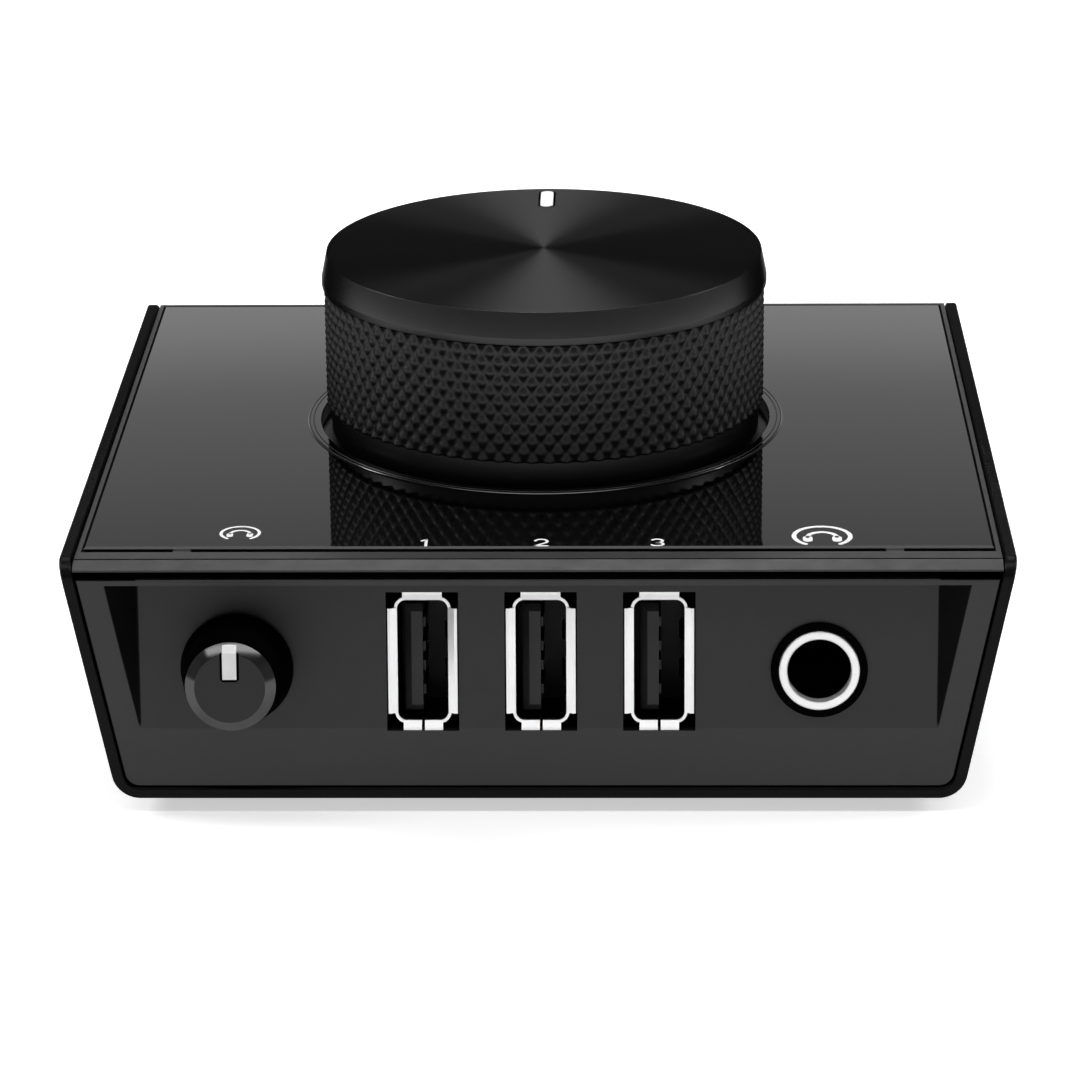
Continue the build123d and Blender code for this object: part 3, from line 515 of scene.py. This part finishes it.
def spun_finish(name):
    """Black anodised crown turned on a lathe: fine rings, and a highlight stretched across them along the
    map of the turning."""
    greys = (0.0204, 0.0306)
    rough = (0.378, 0.462)
    grain = 0.12
    material, tree, shader = material_nodes(name)
    rings = turning_marks(tree, knob_centre)
    link(tree, ramp(tree, rings, *greys), shader.inputs["Base Color"])
    link(tree, ramp(tree, rings, *rough), shader.inputs["Roughness"])
    set_sockets(shader, Metallic=1.0, Specular_Tint=grey(0.3), Anisotropic=0.85, Anisotropic_Rotation=0.25)
    tangent = tree.nodes.new("ShaderNodeTangent")
    tangent.direction_type = "UV_MAP"
    tangent.uv_map = "turning"
    link(tree, tangent.outputs["Tangent"], shader.inputs["Tangent"])
    bump(tree, shader, rings, grain, GRAIN_DEPTH / 2)
    return material


PLAIN_FINISHES = {
    "moulding_black": dict(colour=(0.007, 0.007, 0.0075), rough=0.46, grain=0.25, scale=5200, specular=0.42),
    "core_plastic": dict(colour=(0.012, 0.012, 0.013), rough=0.45, grain=0.2, scale=4200),
    "chip_black": dict(colour=(0.02, 0.02, 0.022), rough=0.55, grain=0.2, scale=4200),
    "insulator_black": dict(colour=(0.004, 0.004, 0.0045), rough=0.42, grain=0.15, scale=3600, specular=0.3),
    "insulator_grey": dict(colour=(0.02, 0.02, 0.021), rough=0.5, grain=0.15, scale=3600, specular=0.3),
    "board_green": dict(colour=(0.004, 0.02, 0.008), rough=0.4, grain=0.1, scale=2400, specular=0.3),
    "ribbon_grey": dict(colour=(0.3, 0.3, 0.31), rough=0.5, grain=0.1, scale=2400),
    "foot_rubber": dict(colour=(0.01, 0.01, 0.01), rough=0.75, grain=0.3, scale=3000, specular=0.3),
    "mark_white": dict(colour=(0.93, 0.93, 0.93), rough=0.5, grain=0.08, scale=2600),
    # Black without reflections, for the painted shadow lines round the pointers
    "groove_shadow_black": dict(colour=(0.001, 0.001, 0.001), rough=0.9, grain=0.1, scale=2600, specular=0.0),
    "ring_gloss": dict(colour=(0.001, 0.001, 0.0012), rough=0.06, grain=0.05, scale=3000),
    "ring_line": dict(colour=(0.045, 0.045, 0.045), rough=0.3, grain=0.05, scale=3000, metal=1.0, tint=0.6),
    "anodised_black": dict(colour=(0.06, 0.06, 0.061), rough=0.28, grain=0.06, scale=3000, metal=1.0,
                           tint=0.05, vary=0.03),
    "band_black": dict(colour=(0.042, 0.042, 0.043), rough=0.34, grain=0.06, scale=3000, metal=1.0,
                       tint=0.05, vary=0.03),
    "knurl_black": dict(colour=(0.042, 0.042, 0.043), rough=0.42, grain=0.06, scale=3000, metal=1.0,
                        tint=0.35, vary=0.03),
    # Side of the level knob: black, made near black metal as painted shade
    "knob_side_shaded": dict(colour=(0.004, 0.004, 0.004), rough=0.5, grain=0.2, scale=4200, metal=1.0, tint=0.2),
    "knob_bevel": dict(colour=(0.06, 0.06, 0.06), rough=0.14, grain=0.05, scale=3000, metal=1.0, tint=0.5),
    "knob_face": dict(colour=(0.005, 0.005, 0.0055), rough=0.3, grain=0.2, scale=4200, specular=0.32),
    "washer_black": dict(colour=(0.0012, 0.0012, 0.0012), rough=0.4, grain=0.1, scale=3000, metal=1.0,
                         tint=0.15),
    "bright_nickel": dict(colour=(0.86, 0.86, 0.87), rough=0.2, grain=0.06, scale=2400, metal=1.0),
    "nut_nickel": dict(colour=(0.42, 0.42, 0.43), rough=0.26, grain=0.06, scale=2400, metal=1.0),
    "contact_gold": dict(colour=(0.83, 0.62, 0.28), rough=0.28, grain=0.05, scale=2400, metal=1.0),
    # Contacts inside the sockets: near black metal, the painted shade of the socket's inside
    "contact_shaded": dict(colour=(0.035, 0.034, 0.032), rough=0.4, grain=0.05, scale=2400, metal=1.0),
    "screw_steel": dict(colour=(0.06, 0.06, 0.065), rough=0.34, grain=0.08, scale=2400, metal=1.0),
}
finishes = {name: plain_finish(name, **values) for name, values in PLAIN_FINISHES.items()}
finishes["sheet_black"] = sheet_finish("sheet_black")
finishes["panel_black"] = panel_finish("panel_black")
finishes["plate_gloss"] = plate_finish("plate_gloss")
finishes["socket_nickel"] = socket_finish("socket_nickel")
finishes["spun_crown"] = spun_finish("spun_crown")

# Finish of each material slot, where it has another name
SLOT_FINISH = {"plate_black": "plate_gloss", "knob_black": "anodised_black", "knob_plastic": "core_plastic",
               "connector_metal": "bright_nickel", "contact_metal": "contact_gold",
               "hardware_steel": "screw_steel"}

# Solids whose finish differs from the rest of their slot; the socket shells and the contacts inside them
# take finishes darkened by painted shade
NODE_FINISH = {"front_panel": "panel_black", "knob_ring": "ring_gloss", "phones_washer": "washer_black",
               "phones_sleeve": "socket_nickel", "phones_springs": "contact_shaded"}
for number in (1, 2, 3):
    NODE_FINISH[f"usb_shell_{number}"] = "socket_nickel"
    NODE_FINISH[f"usb_contacts_{number}"] = "contact_shaded"


def dress_nodes():
    """Every solid takes its own finish or that of its material slot."""
    for part in frame["record"]["subparts"]:
        slot = part["material_slot"]
        name = NODE_FINISH.get(part["node"], SLOT_FINISH.get(slot, slot))
        mesh = nodes[part["node"]].data
        mesh.materials.clear()
        mesh.materials.append(finishes[name])


# Volume knob

# Its finishes, and the number of the one that its crown, chamfer, rim, grip and base take
KNOB_FINISHES = ("spun_crown", "anodised_black", "band_black", "knurl_black")
KNOB_BANDS = (0, 1, 2, 3, 2)


def knurl_grid(columns, low, high, peak):
    """Knurled band: the radius is the peak less a depth times one minus a bead. The bead is the product of
    two sine waves, without their signs, that run up the band to the left and to the right."""
    rows = KNURL_ROWS * KNURL_SAMPLES + 1
    turn = np.arange(columns) / KNURL_SAMPLES
    climb = np.linspace(0, KNURL_ROWS, rows)[:, None]
    bead = np.abs(np.sin(np.pi * (turn + climb)) * np.sin(np.pi * (turn - climb)))
    radius = peak - KNURL_DEPTH * (1 - bead)
    height = high - (high - low) * climb / KNURL_ROWS
    return radius, np.broadcast_to(height, radius.shape)


def crown_profiles(rim_top):
    """Level crown, and the chamfer from it to the rim with both its edges rounded."""
    face = knob_rim - CHAMFER_RUN
    slope = math.degrees(math.atan2(CHAMFER_RUN, CHAMFER_DROP))
    crown = flat(CROWN_POLE, face - CROWN_ROUND, crown_top, CROWN_RINGS)
    upper = arc((face - CROWN_ROUND, crown_top - CROWN_ROUND), CROWN_ROUND, 90, slope)
    lower = arc((knob_rim - EDGE_ROUND, rim_top - EDGE_ROUND), EDGE_ROUND, slope, 0)
    return crown, np.concatenate((upper, lower))


def base_profile(high):
    """Plain band under the grip, from its shoulder down to its rounded foot."""
    low = knob_low[2]
    base = knob_rim - BASE_STEP
    shoulder = arc((base - EDGE_ROUND, high - EDGE_ROUND), EDGE_ROUND, 90, 0, BASE_POINTS)
    foot = arc((base - EDGE_ROUND, low + EDGE_ROUND), EDGE_ROUND, 0, -90, BASE_POINTS)
    return np.concatenate(([[base - BASE_SHOULDER, high]], shoulder, foot, [[base - BASE_WALL, low]]))


def turning_map(rows, columns):
    """Map of the corners of a turned piece's quads, then of its cap: shares of the way round and down."""
    around = np.arange(columns)
    step = np.repeat(np.arange(rows - 1), columns)
    ring_round = np.stack((around, around + 1, around + 1, around), axis=1)[:, ::-1].ravel()
    quad_round = np.tile(ring_round, rows - 1)
    quad_down = np.stack((step, step, step + 1, step + 1), axis=1)[:, ::-1].ravel()
    cap_round = np.stack((around + 0.5, around, around + 1), axis=1).ravel()
    cap_down = np.tile((-1, 0, 0), columns)
    round_share = np.concatenate((quad_round, cap_round)) / columns
    down_share = np.concatenate((quad_down, cap_down)) / rows
    return np.stack((round_share, down_share), axis=1).astype(np.float32)


def volume_knob():
    """Turned knob as one grid of rings: crown, chamfer, rim, knurled grip and base band. The radius and
    height of each ring's points are turned about the knob's axis."""
    columns = KNURL_COUNT * KNURL_SAMPLES
    rim_top = knob_high[2] - CHAMFER_DROP
    grip_top = rim_top - RIM_BAND
    grip_low = grip_top - GRIP_HEIGHT
    crown, chamfer = crown_profiles(rim_top)
    rim_foot = arc((knob_rim - EDGE_ROUND, grip_top + EDGE_ROUND), EDGE_ROUND, 0, -90)
    grip = knurl_grid(columns, grip_low, grip_top, knob_rim - GRIP_STEP)
    above = plain_grid(np.concatenate((crown, chamfer, rim_foot)), columns)
    below = plain_grid(base_profile(grip_low), columns)
    radius, height = (np.concatenate(parts) for parts in zip(above, grip, below))
    rows = len(radius)
    points = np.concatenate((turned(radius, height).reshape(-1, 3), [(0, 0, crown_top)]))
    faces = [grid_quads(rows, columns)[:, ::-1], cap(rows * columns, 0, columns)]
    piece = new_piece("volume_knob_turned", points + (*knob_centre, 0), faces, KNOB_FINISHES[0],
                      "volume_control")
    layer = piece.data.uv_layers.new(name="turning")
    layer.data.foreach_set("uv", turning_map(rows, columns).ravel())
    ends = np.cumsum((len(crown), len(chamfer) - 1, len(rim_foot), len(grip[0])))
    band = np.searchsorted(ends, np.arange(rows - 1), side="right")
    numbers = np.repeat(np.array(KNOB_BANDS)[band], columns)
    paint(piece, KNOB_FINISHES[1:], np.concatenate((numbers, np.full(columns, KNOB_BANDS[0]))))
    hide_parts("volume_knob")


def volume_pointer_groove_shadow():
    """Painted shadow round the volume knob's pointer: a black closed line with round ends."""
    low, high = box_mm("volume_pointer")
    middle = (low + high) / 2
    half = POINTER_HALF + SHADOW_OUTLINE / 2
    straight = (high - low)[1] / 2 - POINTER_HALF
    path = np.concatenate((arc((0, straight), half, 0, 180, CURVE_POINTS),
                           arc((0, -straight), half, 180, 360, CURVE_POINTS)))
    points, faces = stroke(path + middle[:2], SHADOW_OUTLINE, closed=True)
    points[:, 2] += crown_top
    new_piece("volume_pointer_groove_shadow", points, faces, "groove_shadow_black", "volume_control")


def ring_lines():
    """Fine raised lines round the trim ring: half circles turned about the knob's axis."""
    low, high = box_mm("knob_ring")
    for number, inset in enumerate(RING_LINES, 1):
        middle = ((high - low)[0] / 2 - inset, high[2] - RING_LINE / 2)
        profile = arc(middle, RING_LINE, 0, 180, RING_LINE_POINTS)
        points = turned(*plain_grid(profile, RING_COLUMNS)).reshape(-1, 3) + (*knob_centre, 0)
        faces = [grid_quads(RING_LINE_POINTS, RING_COLUMNS)]
        new_piece(f"ring_line_{number}", points, faces, "ring_line", "case")


# Level knob

# Finishes of its side, bevel and face; the side is black, and its near black metal, which dims the lamps'
# # sheen on it, is painted shade
LEVEL_FINISHES = ("knob_side_shaded", "knob_bevel", "knob_face")


def level_knob():
    """Tapered knob with a bevelled face, turned about an axis square to the scooped floor."""
    columns = LEVEL_COLUMNS
    r = LEVEL_ROUND
    shoulder = level_top - LEVEL_BEVEL
    lean = math.degrees(math.atan2(LEVEL_BASE - LEVEL_RIM, shoulder - LEVEL_GAP))
    tip = math.degrees(math.atan2(LEVEL_RIM - LEVEL_FACE, LEVEL_BEVEL))
    side = np.concatenate(([[LEVEL_BORE, LEVEL_GAP]],
                           arc((LEVEL_BASE - r, LEVEL_GAP + r), r, -90, lean),
                           arc((LEVEL_RIM - r, shoulder - r), r, lean, tip)))
    edge = arc((LEVEL_FACE - r, level_top - r), r, tip, 90)
    face = flat(LEVEL_FACE - 2 * r, LEVEL_POLE, level_top, LEVEL_FACE_RINGS)
    profile = np.concatenate((side, edge, face))
    rows = len(profile)
    points = np.concatenate((turned(*plain_grid(profile, columns)).reshape(-1, 3), [(0, 0, level_top)]))
    faces = [grid_quads(rows, columns), cap(rows * columns, (rows - 1) * columns, columns)]
    piece = new_piece("level_knob_turned", on_floor(points, level_middle), faces, LEVEL_FINISHES[0],
                      "level_control")
    ends = np.cumsum((len(side) - 1, len(edge)))
    band = np.searchsorted(ends, np.arange(rows - 1), side="right")
    numbers = np.repeat(band, columns)
    paint(piece, LEVEL_FINISHES[1:], np.concatenate((numbers, np.full(columns, band[-1]))))
    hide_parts("level_knob")


def level_pointer_groove_shadow():
    """Painted shadow round the level knob's pointer: a black line of two sides and a rounded inner end."""
    half = POINTER_HALF + SHADOW_OUTLINE / 2
    edge = LEVEL_FACE - LEVEL_ROUND
    inner = LEVEL_RIM - LEVEL_POINTER_LENGTH - SHADOW_OUTLINE / 2
    corner = POINTER_CORNER
    path = [(-half, edge), (-half, inner + corner), (-half + corner, inner), (half - corner, inner),
            (half, inner + corner), (half, edge)]
    points, faces = stroke(path, SHADOW_OUTLINE)
    points[:, 2] += level_top
    new_piece("level_pointer_groove_shadow", on_floor(points, level_middle), faces, "groove_shadow_black",
              "level_control")


# Printed lines

def unit(vector):
    """Vectors of length one."""
    return vector / np.linalg.norm(vector, axis=-1, keepdims=True)


def stroke(path, width, closed=False):
    """Printed line along a path: a low flat-topped profile swept along it. Its ends are half circles, whose
    width is the cosine and whose reach is the sine of an angle."""
    path = np.asarray(path, float)
    half = np.full(len(path), width / 2)
    if closed:
        ahead = unit(np.roll(path, -1, 0) - np.roll(path, 1, 0))
    else:
        angle = np.radians(np.linspace(STROKE_END_ANGLE, 0, STROKE_END_POINTS))
        reach = width / 2 * np.sin(angle)[:, None]
        slim = width / 2 * np.cos(angle)
        head = path[0] + unit(path[0] - path[1]) * reach
        tail = path[-1] + unit(path[-1] - path[-2]) * reach[::-1]
        path = np.concatenate((head, path[1:-1], tail))
        half = np.concatenate((slim, half[1:-1], slim[::-1]))
        ahead = unit(np.gradient(path, axis=0))
    side = np.stack((-ahead[:, 1], ahead[:, 0]), axis=1)
    sideways = np.array([1.0, PRINT_TOP_SHARE, -PRINT_TOP_SHARE, -1.0])
    upwards = np.array([0.0, PRINT_RISE, PRINT_RISE, 0.0])
    plan = path[:, None] + side[:, None] * (half[:, None] * sideways)[..., None]
    height = np.broadcast_to(upwards[:, None], (*plan.shape[:2], 1))
    points = np.concatenate((plan, height), axis=2).reshape(-1, 3)
    corners = len(sideways)
    corner = np.arange(corners)
    beside = (corner + 1) % corners
    station = np.arange(len(path) if closed else len(path) - 1)[:, None] * corners
    following = (station + corners) % len(points)
    quads = np.stack((station + beside, following + beside, following + corner, station + corner), axis=-1)
    faces = [quads.reshape(-1, 4)]
    if not closed:
        faces.append(np.stack((corner, len(points) - 1 - corner)))
    return points, faces


def digit_lines(digit):
    """Paths of one of the digits 1 to 3, about its middle."""
    w, h = DIGIT_HALF
    if digit == 1:
        return [[(ONE_STEM, -h), (ONE_STEM, h)], [(ONE_FLAG, h * ONE_FLAG_SHARE), (ONE_STEM, h)]]
    if digit == 2:
        top = curve((0, h - w), (w, w), *TWO_TOP)
        return [np.concatenate((top, [(-w, -h)])), [(-w, -h), (w, -h)]]
    upper = curve((0, h / 2), (w * THREE_UPPER_SHARE, h / 2), *THREE_UPPER)
    lower = curve((0, -h / 2), (w, h / 2), *THREE_LOWER)
    return [upper, lower]


def headphone_lines(middle, radius):
    """Paths and line widths of a headphone sign: a head band with two ear pads inside an open ring."""
    line = radius * SIGN_LINE_SHARE
    inner = radius * SIGN_BAND_SHARE
    lines = [(arc((0, 0), radius, *SIGN_RING, SIGN_POINTS), line),
             (arc((0, -radius * SIGN_BAND_DROP_SHARE), inner, 0, 180, CURVE_POINTS), line)]
    for side in (-inner, inner):
        pad = [(side, -radius * share) for share in SIGN_PAD_SHARES]
        lines.append((pad, radius * SIGN_PAD_WIDTH_SHARE))
    return [(np.asarray(path) + middle, width) for path, width in lines]


def plate_marks():
    """Digits over the three front sockets and headphone signs over the level knob and its socket."""
    lines = []
    for digit, x in DIGIT_PLACES:
        lines.extend(stroke(np.asarray(path) + (x, DIGIT_Y), DIGIT_LINE) for path in digit_lines(digit))
    for middle, radius in SIGNS:
        lines.extend(stroke(path, width) for path, width in headphone_lines(np.array(middle), radius))
    points, faces = joined(lines)
    points += (0, case_middle[1], plate_top)
    new_piece("plate_marks", points, faces, "mark_white", "case", smooth=False)


# Screws and nuts

def screws(name, node):
    """Countersunk screws with a cross recess, at the corners of a solid's box. Inside the two crossed bars
    of the recess the head sinks by a depth that falls from the middle outwards."""
    low, high = box_mm(node)
    length = (high - low)[2]
    head = flat(SCREW_POLE, SCREW_HEAD - SCREW_EDGE, 0.0, SCREW_RINGS)
    rest = [[SCREW_HEAD, SCREW_EDGE], [SCREW_SHANK, SCREW_SINK], [SCREW_SHANK, length - SCREW_TAPER],
            [SCREW_TIP, length]]
    grid = turned(*plain_grid(np.concatenate((head, rest)), SCREW_COLUMNS))
    sides = np.abs(grid[:SCREW_RINGS, :, :2])
    long, short = sides.max(axis=-1), sides.min(axis=-1)
    beside = np.clip((RECESS_HALF - short) / RECESS_WALL + 0.5, 0, 1)
    before = np.clip((RECESS_REACH - long) / RECESS_END + 0.5, 0, 1)
    sunk = RECESS_DEPTH * (1 - RECESS_RISE_SHARE * long / RECESS_REACH)
    grid[:SCREW_RINGS, :, 2] += sunk * beside * before
    rows = len(grid)
    one = np.concatenate((grid.reshape(-1, 3), [(0, 0, RECESS_DEPTH), (0, 0, length)]))
    faces = [grid_quads(rows, SCREW_COLUMNS),
             cap(rows * SCREW_COLUMNS, 0, SCREW_COLUMNS)[:, ::-1],
             cap(rows * SCREW_COLUMNS + 1, (rows - 1) * SCREW_COLUMNS, SCREW_COLUMNS)]
    ends = [(low[axis] + SCREW_HEAD, high[axis] - SCREW_HEAD) for axis in (0, 1)]
    points, faces = joined([(one + (x, y, low[2]), faces) for x in ends[0] for y in ends[1]])
    piece = new_piece(name, points, faces, "screw_steel", "case")
    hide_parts(node)


def nut(name, node):
    """Hexagonal nut facing the rear, with its corners turned off. The flats lie at the apothem over the
    cosine of the angle from the nearest flat's middle. The face falls by a slope outside a circle within the
    flats."""
    low, high = box_mm(node)
    middle = (low + high) / 2
    apothem = (high - low)[2] / 2
    height = (high - low)[1]
    angle = np.linspace(0, 2 * np.pi, NUT_COLUMNS, endpoint=False)
    edge = apothem / np.cos(angle % (np.pi / 3) - np.pi / 6)
    circle = apothem * NUT_CORNER_SHARE
    outer = circle + (edge - circle) * np.linspace(0, 1, NUT_RINGS)[:, None]
    bore = [[NUT_HOLE, 0], [NUT_HOLE, height - NUT_HOLE_CHAMFER], [NUT_HOLE + NUT_HOLE_CHAMFER, height]]
    bore_radius, bore_rise = plain_grid(np.array(bore), NUT_COLUMNS)
    slope = height - (outer - circle) * math.tan(math.radians(NUT_CORNER_SLOPE))
    radius = np.concatenate((bore_radius, outer, edge[None], bore_radius[:1]))
    rise = np.concatenate((bore_rise, slope, np.zeros((2, NUT_COLUMNS))))
    x = middle[0] - radius * np.cos(angle)
    z = middle[2] + radius * np.sin(angle)
    points = np.stack((x, low[1] + rise, z), axis=-1).reshape(-1, 3)
    faces = [grid_quads(len(radius), NUT_COLUMNS)[:, ::-1]]
    piece = new_piece(name, points, faces, "nut_nickel", "case", smooth=False)
    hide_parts(node)


# Stage, lights and camera

# Floor: metres from its middle to its edges, how far it lies under the feet, and how much of its white is
# its own, as seen directly or mirrored
FLOOR_HALF = 6.0
FLOOR_DROP = 0.02
FLOOR_GLOW = 0.54

# Brightness of the sky at heights in degrees, behind the case and in front of it, and the shares of a
# direction that point to the rear where one passes into the other
SKY_BACK = [(0, 1.0), (16.4, 1.0), (17.4, 0.9), (18.3, 0.55), (20.3, 0.36), (23, 0.2), (28, 0.12),
            (90, 0.08)]
SKY_FRONT = [(0, 0.28), (10, 0.27), (20, 0.28), (30, 0.2), (45, 0.12), (90, 0.08)]
SKY_TURN = (0.75, 0.9)

# Soft lamps: place, aim and size in metres, and power in watts
LAMPS = [
    ("top_back", (0.0, 0.6, 0.93), (0, 0, 0.02), (0.26, 0.4), 3.8),
    ("top_front", (0.0, -0.36, 0.95), (0, 0, 0.02), (1.9, 0.15), 4.9),
    ("left", (-0.84, 0.14, 0.55), (0, 0, 0.03), (0.3, 0.3), 4.4),
    ("right", (0.84, 0.14, 0.55), (0, 0, 0.03), (0.3, 0.3), 3.2),
]


def white_floor():
    """White floor that keeps the shadow and shows as white to the camera and in reflections."""
    plan = np.array([(-1, -1), (1, -1), (1, 1), (-1, 1)]) * FLOOR_HALF
    corners = np.column_stack((plan, np.full(len(plan), -FLOOR_DROP * MM)))
    mesh = bpy.data.meshes.new("floor")
    mesh.from_pydata(corners.tolist(), [], [(0, 1, 2, 3)])
    floor = bpy.data.objects.new("floor", mesh)
    bpy.context.scene.collection.objects.link(floor)
    material, tree, shader = material_nodes("floor_white")
    set_sockets(shader, Base_Color=grey(0.95), Roughness=0.8, Specular_IOR_Level=0.0, Emission_Color=grey(1))
    path = tree.nodes.new("ShaderNodeLightPath")
    mirrored = math_node(tree, "MAXIMUM", path.outputs["Is Glossy Ray"], path.outputs["Is Transmission Ray"])
    seen = math_node(tree, "MAXIMUM", path.outputs["Is Camera Ray"], mirrored)
    link(tree, math_node(tree, "MULTIPLY", seen, FLOOR_GLOW), shader.inputs["Emission Strength"])
    mesh.materials.append(material)


def sky_ramp(tree, height, levels):
    """Brightness by the height of a direction, from levels at angles."""
    node = tree.nodes.new("ShaderNodeValToRGB")
    points = node.color_ramp.elements
    while len(points) < len(levels):
        points.new(0.5)
    for point, (angle, level) in zip(points, levels):
        point.position = math.sin(math.radians(angle))
        point.color = grey(level)
    link(tree, height, node.inputs["Fac"])
    return node.outputs["Color"]


def sky():
    """Sky that is dim overhead, and white at the horizon behind the case."""
    world = bpy.data.worlds.new("studio")
    bpy.context.scene.world = world
    world.use_nodes = True
    tree = world.node_tree
    place = tree.nodes.new("ShaderNodeTexCoord")
    axes = tree.nodes.new("ShaderNodeSeparateXYZ")
    rear = tree.nodes.new("ShaderNodeMapRange")
    rear.inputs["From Min"].default_value, rear.inputs["From Max"].default_value = SKY_TURN
    link(tree, place.outputs["Generated"], axes.inputs["Vector"])
    link(tree, axes.outputs["Y"], rear.inputs["Value"])
    front, back = (sky_ramp(tree, axes.outputs["Z"], levels) for levels in (SKY_FRONT, SKY_BACK))
    colour = blend(tree, rear.outputs["Result"], front, back)
    link(tree, colour, tree.nodes["Background"].inputs["Color"])


def lamps():
    """Rectangular lamps turned towards their aims."""
    for name, place, aim, size, power in LAMPS:
        data = bpy.data.lights.new(name, "AREA")
        data.shape = "RECTANGLE"
        data.size, data.size_y = size
        data.energy = power
        lamp = bpy.data.objects.new(name, data)
        lamp.location = place
        lamp.rotation_mode = "QUATERNION"
        lamp.rotation_quaternion = (Vector(aim) - Vector(place)).to_track_quat("-Z", "Y")
        bpy.context.scene.collection.objects.link(lamp)


def camera():
    """Camera at an azimuth, elevation, roll and distance from the point that it aims at."""
    azimuth, elevation, roll = (math.radians(a) for a in (VIEW_AZIMUTH, VIEW_ELEVATION, VIEW_ROLL))
    right = Vector((math.cos(azimuth), math.sin(azimuth), 0))
    away = Vector((math.sin(azimuth), -math.cos(azimuth), 0))
    back = away * math.cos(elevation) + Vector((0, 0, math.sin(elevation)))
    up = back.cross(right)
    turned_right = math.cos(roll) * right + math.sin(roll) * up
    turned_up = math.cos(roll) * up - math.sin(roll) * right
    data = bpy.data.cameras.new("camera")
    data.lens = LENS
    data.sensor_width = SENSOR
    data.clip_start = NEAR_CLIP * MM
    eye = bpy.data.objects.new("camera", data)
    aim = Vector(VIEW_AIM) + Vector(case_middle)
    turn = Matrix((turned_right, turned_up, back)).transposed().to_4x4()
    eye.matrix_world = Matrix.Translation((aim + back * VIEW_DISTANCE) * MM) @ turn
    bpy.context.scene.collection.objects.link(eye)
    bpy.context.scene.camera = eye


bpy.context.scene.view_settings.view_transform = "Standard"
dress_nodes()
volume_knob()
volume_pointer_groove_shadow()
ring_lines()
level_knob()
level_pointer_groove_shadow()
plate_marks()
screws("base_screws_cross", "base_screws")
screws("panel_screws_cross", "panel_screws")
for side in ("left", "right"):
    nut(f"output_nut_{side}_chamfered", f"output_nut_{side}")
white_floor()
sky()
lamps()
camera()
